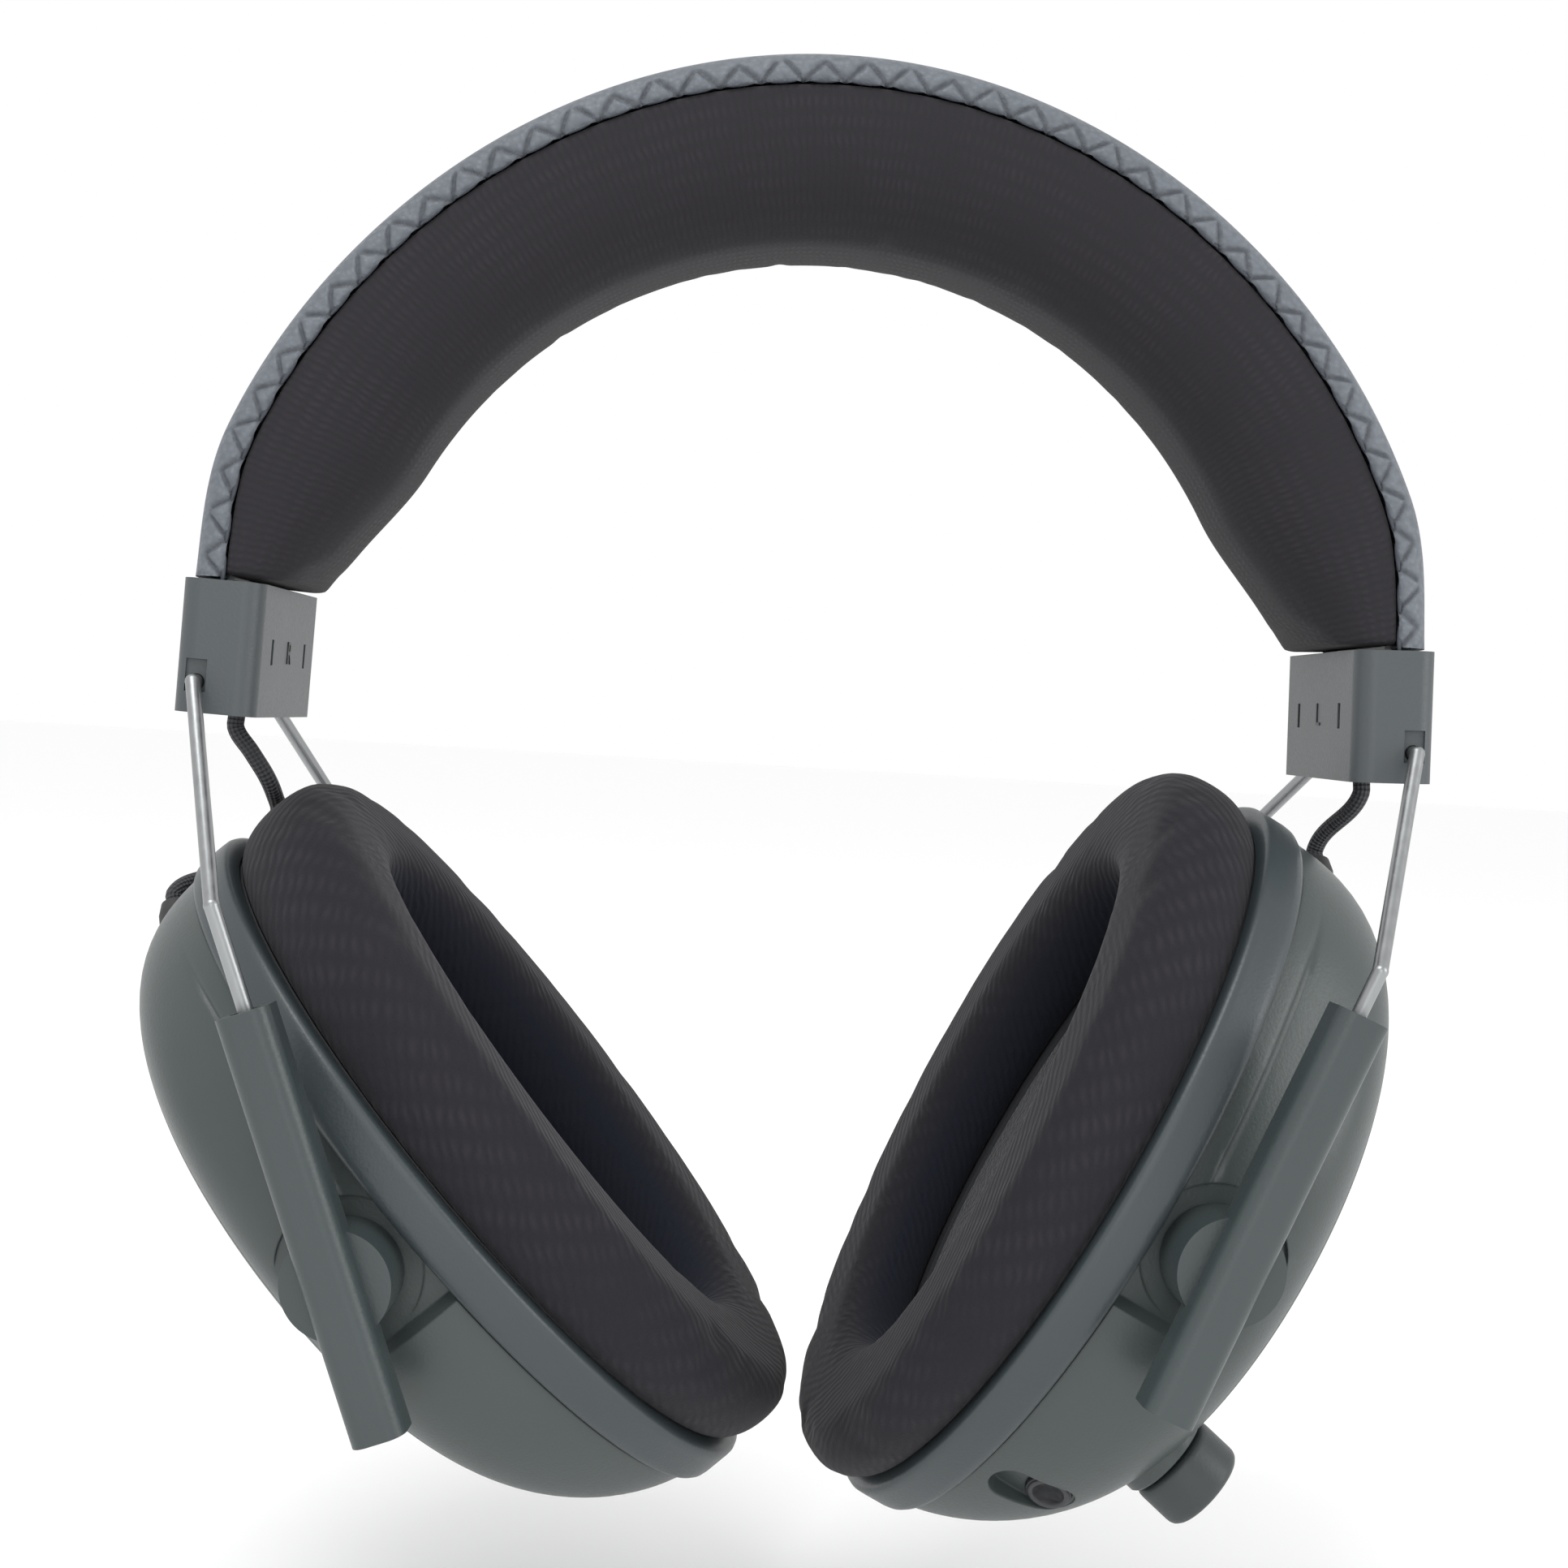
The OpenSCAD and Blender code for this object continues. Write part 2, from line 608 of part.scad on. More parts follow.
// The ring between shell and cushion, with a ledge for the baffle inside
module cup_ring(side) {
    a = ring_a;
    b = ring_b;
    w = ring_wall;
    section = [[0.4, 0], [ring_h - 1.1, 0], [ring_h - 0.3, 0.35], [ring_h, 1], [ring_h, w], [0, w], [0, 0.35]];
    color("#3f4a48") at_cup(side) loft([for (i = [0 : around - 1]) let (f = 360 * i / around)
        [for (p = section) [p[0], (a - p[1]) * cos(f), (b - p[1]) * sin(f)]]], closed = true);
}

// The oval roll of foam in its knitted sleeve
module ear_cushion(side) {
    steps = 14;
    mid = roll_w / 2;
    color("#262529") at_cup(side) loft([for (i = [0 : around - 1]) let (f = 360 * i / around)
        [for (k = [steps - 1 : -1 : 0])
            let (g = 360 * k / steps,
                 t = cushion[side] - cushion_taper * (1 - sin(f)) / 2,
                 x = min(-flat, -t / 2 + (t / 2 + 2.2) * roll(cos(g), 0.75)),
                 r = mid * roll(sin(g), 0.65))
            [max(x, -t), (ring_a - mid - 0.2 + r) * cos(f), (ring_b - mid - 0.2 + r) * sin(f)]]],
        closed = true);
}

function roll(c, e) = (c < 0 ? -1 : 1) * pow(abs(c), e);

// The plate that clips the cushion into the ring
module cushion_plate(side) {
    color("black") at_cup(side) difference() {
        oval_plate(ring_a - ring_wall - 0.3, ring_b - ring_wall - 0.3, 0, plate_t);
        oval_plate(opening_a, opening_b, -1, plate_t + 1);
    }
}

// Thin cloth over the driver, inside the plate's opening
module scrim(side) {
    color("#1d1c20") at_cup(side) oval_plate(opening_a - 0.3, opening_b - 0.3, 0.4, 1);
}

// The board across the cup that carries the driver
module baffle(side) {
    color("#202224") at_cup(side) difference() {
        oval_plate(ring_a - baffle_inset, ring_b - baffle_inset, baffle_d0, baffle_top);
        for (k = [-3 : 3]) for (j = [-2 : 2]) post(1.5, 0, 9, 4.6 * j, 4.6 * k);
        at_screws() post(screw_r + press, 0, 9);
        at_screws() post(screw_head_r + press, 0, baffle_d0 + 0.8);
    }
}

module driver_basket(side) {
    r = driver_d / 2;
    base = baffle_top + plate_gap;
    color("#303338") at_cup(side) translate([base, 0, 0]) rotate([0, 90, 0]) difference() {
        union() {
            cylinder(r = r, h = 1.6);
            cylinder(r = r - 2, h = basket_h);
        }
        translate([0, 0, -1]) cylinder(r = r - 3.4, h = basket_h - 0.2);
        translate([0, 0, -1]) cylinder(d = magnet_d - 6, h = basket_h + 2);
    }
}

module driver_magnet(side) {
    base = baffle_top + plate_gap + basket_h;
    color("silver") at_cup(side) post(magnet_d / 2, base, base + magnet_h);
}

module diaphragm(side) {
    base = baffle_top + plate_gap + 0.6;
    color("white") at_cup(side) {
        post(driver_d / 2 - 3.6, base, base + 0.3);
        post(magnet_d / 2 - 4, base + 0.2, base + 2.6);
    }
}

// The rubber gland that a link cable enters the cup by
module cable_gland(side) {
    color("#1a1a1c") at_cup(side) gland_line() difference() {
        union() {
            translate([0, 0, -3]) cylinder(r = 2.2, h = 4.2);
            translate([0, 0, 1.2]) cylinder(r1 = 2.2, r2 = 1.75, h = 1.8);
        }
        translate([0, 0, -4]) cylinder(r = cable_r + cable_hole_clear, h = 10);
    }
}

module cup_screws(side) {
    color("silver") at_cup(side) at_screws() {
        post(screw_head_r, baffle_d0, baffle_d0 + 0.8);
        post(screw_r, baffle_d0 + 0.7, 10.5);
    }
}

// ---- Controls and electronics ----

module volume_knob() {
    color("#4b5250") at_cup(LEFT) knob_line() {
        translate([0, 0, knob_foot + knob_gap]) cylinder(d = knob_d, h = knob_h);
        translate([0, 0, -7]) cylinder(r = shaft_r, h = 8 + knob_foot);
    }
}

module volume_encoder() {
    color("darkgreen") at_cup(LEFT) knob_line() difference() {
        translate([0, 0, -9.4]) cylinder(r = 3.5, h = 5);
        translate([0, 0, -7.2]) cylinder(r = shaft_r + 0.1, h = 10);
    }
}

module push_button(f) {
    color("#4b5250") at_cup(LEFT) at_rim(LEFT, f, button_depth) {
        translate([0, 0, -2.6]) cylinder(d = button_d, h = 2.6 + button_travel + 0.3);
        translate([0, 0, -3.4]) cylinder(d = button_d - 2.4, h = 0.9);
    }
}

// The small board behind the buttons
module switch_board() {
    mid = (power_at + mute_at) / 2;
    color("darkgreen") at_cup(LEFT) at_rim(LEFT, mid, button_depth)
        translate([-5, -6.6, -3.4 - button_travel - 2.4]) cube([5.6, 13.2, 1.2]);
}

// A 3.5 mm socket body with a through bore
module jack(bore_d, h) {
    difference() {
        cylinder(r = 2.8, h = h);
        translate([0, 0, -1]) cylinder(d = bore_d, h = h + 2);
    }
}

module mic_socket() {
    color("#2a2c2e") at_cup(LEFT) at_rim(LEFT, mic_at, mic_d) translate([2.2, 0, -10]) jack(mic_bore_d, 8.6);
}

module aux_socket() {
    color("#2a2c2e") at_cup(LEFT) at_rim(LEFT, aux_at, socket_depth) translate([0, 0, -11]) jack(aux_bore_d, 10);
}

module charge_socket() {
    color("silver") at_cup(LEFT) at_rim(LEFT, charge_at, socket_depth) translate([0, 0, -8]) difference() {
        pill(1.7, 9.2, 7);
        translate([0, 0, 0.4]) pill(1.3, 8.4, 8);
    }
}

module status_light() {
    color("white") at_cup(LEFT) at_rim(LEFT, light_at, socket_depth) translate([0, 0, -5]) cylinder(r = 1, h = 4.6);
}

board_d = baffle_top + plate_gap + basket_h + magnet_h + board_clear;

module main_board() {
    color("darkgreen") at_cup(LEFT) translate([board_d, -19, -20]) cube([1.2, 38, 50]);
}

module antenna_board() {
    color("darkgreen") at_cup(LEFT) translate([board_d + 1.4, -9, 31]) cube([0.8, 18, 6]);
}

module battery() {
    color("steelblue") at_cup(RIGHT) translate([board_d, -15, -14]) cube([4.6, 30, 40]);
}

// ---- Link cables ----

function unit(v) = v / norm(v);
function tangent(p, i) = unit(p[min(i + 1, len(p) - 1)] - p[max(i - 1, 0)]);
function ring_at(c, t, r) = let (s = unit(cross(t, [0, 1, 0.01])), u = cross(s, t))
    [for (k = [0 : 7]) c + r * (cos(45 * k) * s + sin(45 * k) * u)];
// The direction of a line of points at one of them, halfway between the steps on both sides
function heading(p, i) = unit((i > 0 ? unit(p[i] - p[i - 1]) : [0, 0, 0])
    + (i < len(p) - 1 ? unit(p[i + 1] - p[i]) : [0, 0, 0]));
// A smooth curve through the points, with t from 0 to 1 along step i
function curve(p, i, t) =
    let (b = p[i], c = p[i + 1], reach = norm(c - b), turn = t * (1 - t) * reach)
    b + t * t * (3 - 2 * t) * (c - b) + turn * (1 - t) * heading(p, i) - turn * t * heading(p, i + 1);
function fine(p) = concat(
    [for (i = [0 : len(p) - 2]) let (n = ceil(norm(p[i + 1] - p[i]) / cable_step))
        for (k = [0 : n - 1]) curve(p, i, k / n)],
    [p[len(p) - 1]]);

// The gland's axis, h above its foot
function gland_point(side, h) =
    let (a = gland_lean[0], b = gland_lean[1])
    cup_point(side, [gland_d, gland_y, gland_z] + h * [cos(a) * sin(b), -sin(a), cos(a) * cos(b)]);

// The left cable drops straight to its cup; the right one loops round behind the cushion
function route(side) = concat(
    [for (h = [1, -0.4, -1.8]) cap_point(cap_foot_x, 0, -cap_h / 2 + h)],
    side == LEFT ? [] : [[cap_x - 0.8, 0.3, cap_z - 13], [cap_x - 2.6, 1.5, cap_z - 16],
        [cap_x - 3.2, 4.5, cap_z - 18.6], cup_point(side, [-3.6, 9.5, ring_b]),
        cup_point(side, [1, 13, ring_b - 1.5]), cup_point(side, [6.5, 12.5, ring_b - 1.3])],
    [for (h = [4.4, 3.2, 2.1, 1]) gland_point(side, h)]);

module link_cable(side) {
    path = fine(route(side));
    color("#202022") on_side(side) loft([for (i = [0 : len(path) - 1]) ring_at(path[i], tangent(path, i), cable_r)]);
}

band_spring();
headband_cover();
crown_pad();
end_cap(LEFT);  // end_cap_left
end_cap(RIGHT);  // end_cap_right
cap_insert(LEFT);  // cap_insert_left
cap_insert(RIGHT);  // cap_insert_right
cap_screws();
rod(LEFT, -1);  // rod_front_left
rod(LEFT, 1);  // rod_rear_left
rod(RIGHT, -1);  // rod_front_right
rod(RIGHT, 1);  // rod_rear_right
link_cable(LEFT);  // link_cable_left
link_cable(RIGHT);  // link_cable_right
tube(LEFT, -1);  // tube_front_left
tube(LEFT, 1);  // tube_rear_left
tube(RIGHT, -1);  // tube_front_right
tube(RIGHT, 1);  // tube_rear_right
slider_bushes(LEFT);  // slider_bushes_left
slider_bushes(RIGHT);  // slider_bushes_right
pivot_pins(LEFT);  // pivot_pins_left
pivot_pins(RIGHT);  // pivot_pins_right
outer_shell(LEFT);  // outer_shell_left
outer_shell(RIGHT);  // outer_shell_right
outer_cover(LEFT);  // outer_cover_left
outer_cover(RIGHT);  // outer_cover_right
cup_ring(LEFT);  // cup_ring_left
cup_ring(RIGHT);  // cup_ring_right
ear_cushion(LEFT);  // ear_cushion_left
ear_cushion(RIGHT);  // ear_cushion_right
cushion_plate(LEFT);  // cushion_plate_left
cushion_plate(RIGHT);  // cushion_plate_right
scrim(LEFT);  // scrim_left
scrim(RIGHT);  // scrim_right
baffle(LEFT);  // baffle_left
baffle(RIGHT);  // baffle_right
diaphragm(LEFT);  // diaphragm_left
diaphragm(RIGHT);  // diaphragm_right
driver_basket(LEFT);  // driver_basket_left
driver_basket(RIGHT);  // driver_basket_right
driver_magnet(LEFT);  // driver_magnet_left
driver_magnet(RIGHT);  // driver_magnet_right
cable_gland(LEFT);  // cable_gland_left
cable_gland(RIGHT);  // cable_gland_right
cup_screws(LEFT);  // cup_screws_left
cup_screws(RIGHT);  // cup_screws_right
volume_knob();
volume_encoder();
push_button(power_at);  // power_button
push_button(mute_at);  // mute_button
switch_board();
mic_socket();
charge_socket();
aux_socket();
status_light();
main_board();
battery();
antenna_board();
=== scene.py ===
"""Over-ear wireless headset: padded steel headband, sliders on bent rods, tilting ear cups."""

import json
from math import acos, asin, atan2, ceil, cos, exp, hypot, pi, radians, sin

import bmesh
import bpy
from mathutils import Matrix, Vector


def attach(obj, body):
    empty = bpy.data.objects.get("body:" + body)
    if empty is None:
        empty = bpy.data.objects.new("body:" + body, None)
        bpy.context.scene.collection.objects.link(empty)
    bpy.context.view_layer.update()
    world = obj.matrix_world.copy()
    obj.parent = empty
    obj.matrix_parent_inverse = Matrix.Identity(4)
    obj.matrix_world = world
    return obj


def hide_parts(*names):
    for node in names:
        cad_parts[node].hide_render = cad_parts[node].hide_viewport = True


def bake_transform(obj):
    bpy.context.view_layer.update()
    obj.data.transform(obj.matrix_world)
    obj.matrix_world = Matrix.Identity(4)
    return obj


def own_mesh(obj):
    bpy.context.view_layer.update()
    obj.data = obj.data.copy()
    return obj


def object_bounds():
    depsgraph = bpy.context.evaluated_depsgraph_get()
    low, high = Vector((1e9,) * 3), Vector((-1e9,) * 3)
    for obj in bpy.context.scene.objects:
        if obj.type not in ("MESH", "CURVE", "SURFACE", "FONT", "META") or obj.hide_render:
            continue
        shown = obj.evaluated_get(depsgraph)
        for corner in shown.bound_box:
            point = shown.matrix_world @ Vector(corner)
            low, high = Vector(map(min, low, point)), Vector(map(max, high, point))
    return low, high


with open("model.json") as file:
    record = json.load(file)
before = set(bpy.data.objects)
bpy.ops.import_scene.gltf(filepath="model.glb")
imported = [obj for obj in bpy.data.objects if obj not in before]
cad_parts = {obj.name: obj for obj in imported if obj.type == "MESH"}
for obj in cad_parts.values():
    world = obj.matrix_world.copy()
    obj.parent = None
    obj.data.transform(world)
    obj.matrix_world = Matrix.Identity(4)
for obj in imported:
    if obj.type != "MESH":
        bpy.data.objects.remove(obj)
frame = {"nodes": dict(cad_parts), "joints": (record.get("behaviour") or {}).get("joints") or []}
cad_low, cad_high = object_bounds()
joint = {j["name"]: j for j in frame["joints"]}
SIDES = ("left", "right")
scene = bpy.context.scene
scene.view_settings.view_transform = "Standard"

# ---- Camera, floor and light ----
# A long-lens view from the front, a little below the crown, on a pale table in a white studio.
# The floor lies below the lowest reach of the extended cups.

turned = Matrix.Rotation(radians(3.38), 3, "Y") @ Matrix.Rotation(radians(1.79), 3, "X") @ Matrix.Rotation(
    radians(1.22), 3, "Z")
camera = bpy.data.objects.new("camera", bpy.data.cameras.new("camera"))
camera.data.lens = 51.09
camera.data.sensor_width = 36
camera.matrix_world = Matrix.Translation((-0.00824, -0.2892, -0.05949)) @ Matrix(
    (turned[0], turned[2], -turned[1])).transposed().to_4x4()
scene.collection.objects.link(camera)
scene.camera = camera

floor_z = cad_low.z - 0.022
table = bpy.data.meshes.new("floor")
table.from_pydata([(x, y, floor_z) for x, y in ((-4, -3), (4, -3), (4, 5), (-4, 5))], [], [(0, 1, 2, 3)])
floor = bpy.data.objects.new("floor", table)
scene.collection.objects.link(floor)
paper = bpy.data.materials.new("paper")
paper.use_nodes = True
paper.node_tree.nodes["Principled BSDF"].inputs["Base Color"].default_value = (0.97, 0.97, 0.97, 1)
paper.node_tree.nodes["Principled BSDF"].inputs["Roughness"].default_value = 0.8
floor.data.materials.append(paper)

studio = bpy.data.worlds.new("studio")
studio.use_nodes = True
studio.node_tree.nodes["Background"].inputs["Color"].default_value = (1, 1, 1, 1)
studio.node_tree.nodes["Background"].inputs["Strength"].default_value = 1.0
scene.world = studio


def softbox(name, place, aim, size, watts):
    lamp = bpy.data.objects.new(name, bpy.data.lights.new(name, "AREA"))
    lamp.data.size = size
    lamp.data.energy = watts
    lamp.location = place
    lamp.rotation_euler = (Vector(aim) - Vector(place)).to_track_quat("-Z", "Y").to_euler()
    scene.collection.objects.link(lamp)


softbox("key_light", (-0.25, -0.45, 0.75), (0, 0, -0.05), 0.5, 4)
softbox("side_light", (0.75, -0.35, 0.15), (0, 0, -0.08), 0.4, 1.8)
softbox("front_light", (0.0, -0.9, 0.1), (0, 0, -0.08), 0.5, 1.0)


# ---- Steel spring strip ----
# A flat strip of bare spring steel runs inside the headband and is screwed into both caps.
# Here every finish gets its nodes, from the socket sums that follow.

class Grain:
    """A value or colour in a finish; a sum written on it becomes Math nodes."""

    def __init__(self, finish, socket):
        self.finish, self.socket = finish, socket

    def sum(self, operation, *terms):
        return self.finish.node("ShaderNodeMath", {"operation": operation}, dict(enumerate(terms)))

    def __add__(self, other):
        return self.sum("ADD", self, other)

    def __sub__(self, other):
        return self.sum("SUBTRACT", self, other)

    def __rsub__(self, other):
        return self.sum("SUBTRACT", other, self)

    def __mul__(self, other):
        return self.sum("MULTIPLY", self, other)

    __radd__, __rmul__ = __add__, __mul__

    def wave(self, length):
        return self.sum("SINE", self * (2 * pi / length))

    def between(self, low, high):
        return self.finish.node("ShaderNodeMapRange", {"interpolation_type": "SMOOTHSTEP"},
                                {"Value": self, "From Min": low, "From Max": high}, "Result")


class Finish:
    """A material under way, on the Principled shader."""

    def __init__(self, name, colour, roughness, **fixed):
        self.material = bpy.data.materials.new(name)
        self.material.use_nodes = True
        self.tree = self.material.node_tree
        self.shader = self.tree.nodes["Principled BSDF"].inputs
        self.shader["Base Color"].default_value = (*colour, 1)
        self.shader["Roughness"].default_value = roughness
        for key, value in fixed.items():
            self.shader[key.replace("_", " ")].default_value = value

    def node(self, kind, settings, sockets, out=0):
        made = self.tree.nodes.new(kind)
        for key, value in settings.items():
            setattr(made, key, value)
        for key, value in sockets.items():
            socket = made.inputs[key] if isinstance(key, int) else next(
                s for s in made.inputs if key in (s.identifier, s.name))
            if isinstance(value, Grain):
                self.tree.links.new(value.socket, socket)
            else:
                socket.default_value = value
        found = made.outputs[out] if isinstance(out, int) else next(
            s for s in made.outputs if out in (s.identifier, s.name))
        return Grain(self, found)

    def places(self, stretch=(1, 1, 1), kind="Object"):
        where = self.node("ShaderNodeTexCoord", {}, {}, kind)
        return self.node("ShaderNodeMapping", {}, {"Vector": where, "Scale": stretch})

    def along_and_round(self):
        """The piece's own pattern: its place, how far along it is, and how far round, in metres."""
        where = self.places(kind="UV")
        u = self.node("ShaderNodeSeparateXYZ", {}, {"Vector": where})
        return where, u, Grain(self, u.socket.node.outputs[1])

    def noise(self, scale, detail=2.0, where=None):
        return self.node("ShaderNodeTexNoise", {}, {"Vector": where or self.places(), "Scale": scale,
                                                    "Detail": detail}, "Fac")

    def mix(self, share, low, high):
        tones = {"Factor_Float": share}
        for key, tone in (("A_Color", low), ("B_Color", high)):
            tones[key] = tone if isinstance(tone, Grain) else (*tone, 1)
        return self.node("ShaderNodeMix", {"data_type": "RGBA"}, tones, "Result_Color")

    def tint(self, colour, share, low=0.85, high=1.15):
        """The colour, darker and lighter by turns."""
        return self.mix(share, [c * low for c in colour], [min(1, c * high) for c in colour])

    def relief(self, height, depth, round_edge=0.0):
        under = {}
        if round_edge:
            under["Normal"] = self.node("ShaderNodeBevel", {"samples": 4}, {"Radius": round_edge})
        bump = self.node("ShaderNodeBump", {}, {"Height": height, "Distance": depth, **under})
        self.tree.links.new(bump.socket, self.shader["Normal"])

    def feed(self, **sockets):
        for key, value in sockets.items():
            self.tree.links.new(value.socket, self.shader[key.replace("_", " ")])
        return self.material


def dress(material, *nodes):
    """Gives CAD nodes this finish."""
    for name in nodes:
        slots = frame["nodes"][name].data.materials
        slots.clear()
        slots.append(material)


def steel(name, colour, roughness, stretch):
    finish = Finish(name, colour, roughness, Metallic=1.0)
    drawn = finish.noise(900, 3, finish.places(stretch))
    finish.relief(drawn, 0.00002)
    return finish.feed(Base_Color=finish.tint(colour, drawn, 0.82, 1.1),
                       Roughness=drawn * 0.25 + (roughness - 0.1))


spring_steel = steel("spring_steel", (0.5, 0.51, 0.52), 0.38, (1, 0.1, 1))
dress(spring_steel, "band_spring")


# ---- Leather cover of the headband ----
# Grey-blue synthetic leather is drawn over the crown and sewn to the pad along both edges.
# The thread pulls small triangular puckers into it at every stitch, and their creases are painted darker as
# shade.

def smooth(t):
    u = min(max(t, 0), 1)
    return u * u * (3 - 2 * u)


ARC_Z = -57.6           # millimetres, as in the CAD
BAND_R = 79.5
BAND_FOOT = 10.75       # height of the band's flat foot over the arc's middle
BAND_HALF = 17.7
SIDE_HEIGHT = 4.6
band_end = pi / 2 - asin(BAND_FOOT / (BAND_R - 2.4))
knee = band_end - radians(20)
STITCH = 5.4


def cover_top(f):
    return BAND_R - 2.4 * smooth((abs(f) - knee - radians(6)) / radians(16)) - 0.8 * sin(2 * f) ** 2


def arch(f, r, y):
    return Vector((r * sin(f), y, ARC_Z + max(r * cos(f), BAND_FOOT))) / 1000


def signed(value, power):
    return (1 if value >= 0 else -1) * abs(value) ** power


def surface(name, rows, material, joined=False, capped=True, u=None, v=None):
    """A smooth mesh through rings of points; u and v are lengths along and round it, for its pattern."""
    n, m = len(rows), len(rows[0])
    faces, corners = [], []
    for i in range(n if joined else n - 1):
        for k in range(m):
            a, b, c, d = i * m, (i + 1) % n * m, k, (k + 1) % m
            faces.append((a + c, b + c, b + d, a + d))
            corners += [(i, k), (i + 1, k), (i + 1, k + 1), (i, k + 1)]
    if capped and not joined:
        faces += [tuple(range(m)), tuple(range((n - 1) * m, n * m))]
        corners += [(0, k) for k in range(m)] + [(n - 1, k) for k in range(m)]
    mesh = bpy.data.meshes.new(name)
    mesh.from_pydata([p for row in rows for p in row], [], faces)
    if u:
        layer = mesh.uv_layers.new(name="UVMap").data
        for loop, (i, k) in zip(layer, corners):
            loop.uv = (u[i], v[k])
    made = bpy.data.objects.new(name, mesh)
    scene.collection.objects.link(made)
    mesh.materials.append(material)
    face_out(made)
    return made


def face_out(made, sharp=None):
    """Turns the faces outward and shades them smooth, but for corners past the sharp angle."""
    shape = bmesh.new()
    shape.from_mesh(made.data)
    bmesh.ops.recalc_face_normals(shape, faces=shape.faces)
    shape.to_mesh(made.data)
    shape.free()
    made.data.polygons.foreach_set("use_smooth", [True] * len(made.data.polygons))
    if sharp:
        made.data.set_sharp_from_angle(angle=radians(sharp))


def lengths(points):
    """How far along a line of points each one is."""
    total = [0.0]
    for a, b in zip(points, points[1:]):
        total.append(total[-1] + (b - a).length)
    return total


def crease(along, height):
    """How much the leather folds here between two stitches, and how much it swells inside the fold."""
    phase = abs((along / STITCH) % 1 - 0.5) * 2
    reach = (2.7 + 0.45 * sin(2.4 * round(along / STITCH - 0.5))) * (1 - phase)
    fold = exp(-((height - reach) / 0.42) ** 2) * smooth((3 - height) / 0.7)
    return fold, smooth((reach - height) / 1.2)


def cover_ring(f):
    """The cover's section: up one side from the seam, over the crown, down the other side, and back below."""
    foot = cover_top(f) - SIDE_HEIGHT
    ring, folds = [], []
    for k in range(51):
        t = k / 50
        a = pi * (smooth(t) * 0.55 + t * 0.45)
        height = SIDE_HEIGHT * sin(a) ** 0.6
        fold, pillow = crease(f * BAND_R, height)
        out = 0.35 * pillow - 0.5 * fold - 0.4 * exp(-(height / 0.45) ** 2)
        side = abs(cos(a))
        y = -signed(cos(a), 0.35) * BAND_HALF + (-1 if cos(a) > 0 else 1) * out * side
        ring.append(arch(f, foot + max(0, height + out * (1 - side) * 0.5), y))
        folds.append(fold)
    below = [arch(f, foot + 0.9, y) for y in (BAND_HALF - 2.5, -BAND_HALF + 2.5)]
    return ring + below, folds + [0, 0]


finish = Finish("leather_cover", (0.13, 0.145, 0.165), 0.5, Specular_IOR_Level=0.4)
pebble = finish.node("ShaderNodeTexVoronoi", {"feature": "SMOOTH_F1"}, {
    "Vector": finish.places(), "Scale": 1350.0, "Smoothness": 0.6}, "Distance")
grain = finish.noise(3200, 3)
finish.relief(pebble * -0.7 + grain * 0.35, 0.0002)
# The fold attribute darkens the leather toward near black inside the puckers' creases: painted shade.
crease_shade = finish.node("ShaderNodeAttribute", {"attribute_name": "fold"}, {}, "Fac")
# The colour is darker where the pebble distance is larger, in the crevices between pebbles: painted shade,
# mixed with random tone from the broad noise.
tone = finish.mix(finish.noise(45) * 0.5 + pebble * 0.6, (0.15, 0.167, 0.19), (0.078, 0.088, 0.102))
leather_cover = finish.feed(Base_Color=finish.mix(crease_shade * 0.5, tone, (0.02, 0.023, 0.028)),
                            Roughness=grain * 0.2 + pebble * 0.15 + 0.33)

stations = [band_end * (2 * i / 860 - 1) for i in range(861)]
rings = [cover_ring(f) for f in stations]
cover = surface("headband_leather", [ring for ring, folds in rings], leather_cover)
cover.data.attributes.new("fold", "FLOAT", "POINT").data.foreach_set(
    "value", [fold for ring, folds in rings for fold in folds])
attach(cover, "headband")
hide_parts("headband_cover")


# ---- Stitches along the two seams ----
# Dark twisted thread, one long stitch to each pucker, sewn through leather and pad together.

def grow(name, seed_mesh, inputs, build, material, body):
    """Runs a node tree with named sizes on a seed mesh, and keeps the result as a plain piece."""
    tree = bpy.data.node_groups.new(name, "GeometryNodeTree")
    tree.interface.new_socket("Geometry", in_out="INPUT", socket_type="NodeSocketGeometry")
    tree.interface.new_socket("Geometry", in_out="OUTPUT", socket_type="NodeSocketGeometry")
    sockets = {key: tree.interface.new_socket(key, in_out="INPUT", socket_type="NodeSocketFloat")
               for key in inputs}

    def add(kind, settings=None, **links):
        made = tree.nodes.new(kind)
        for key, value in (settings or {}).items():
            setattr(made, key, value)
        for key, value in links.items():
            socket = made.inputs[key.replace("_", " ")]
            if hasattr(value, "is_output"):
                tree.links.new(value, socket)
            else:
                socket.default_value = value
        return made.outputs

    given = add("NodeGroupInput")
    real = add("GeometryNodeRealizeInstances", Geometry=build(add, given))
    dressed = add("GeometryNodeSetMaterial", Geometry=real["Geometry"], Material=material)
    result = tree.nodes.new("NodeGroupOutput")
    tree.links.new(dressed["Geometry"], result.inputs["Geometry"])
    seed = bpy.data.objects.new(name + "_seed", seed_mesh)
    scene.collection.objects.link(seed)
    nodes = seed.modifiers.new(name, "NODES")
    nodes.node_group = tree
    for key, value in inputs.items():
        nodes[sockets[key].identifier] = value
    mesh = bpy.data.meshes.new_from_object(seed.evaluated_get(bpy.context.evaluated_depsgraph_get()))
    bpy.data.objects.remove(seed)
    mesh.name = name
    made = bpy.data.objects.new(name, mesh)
    scene.collection.objects.link(made)
    face_out(made)
    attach(made, body)
    return made


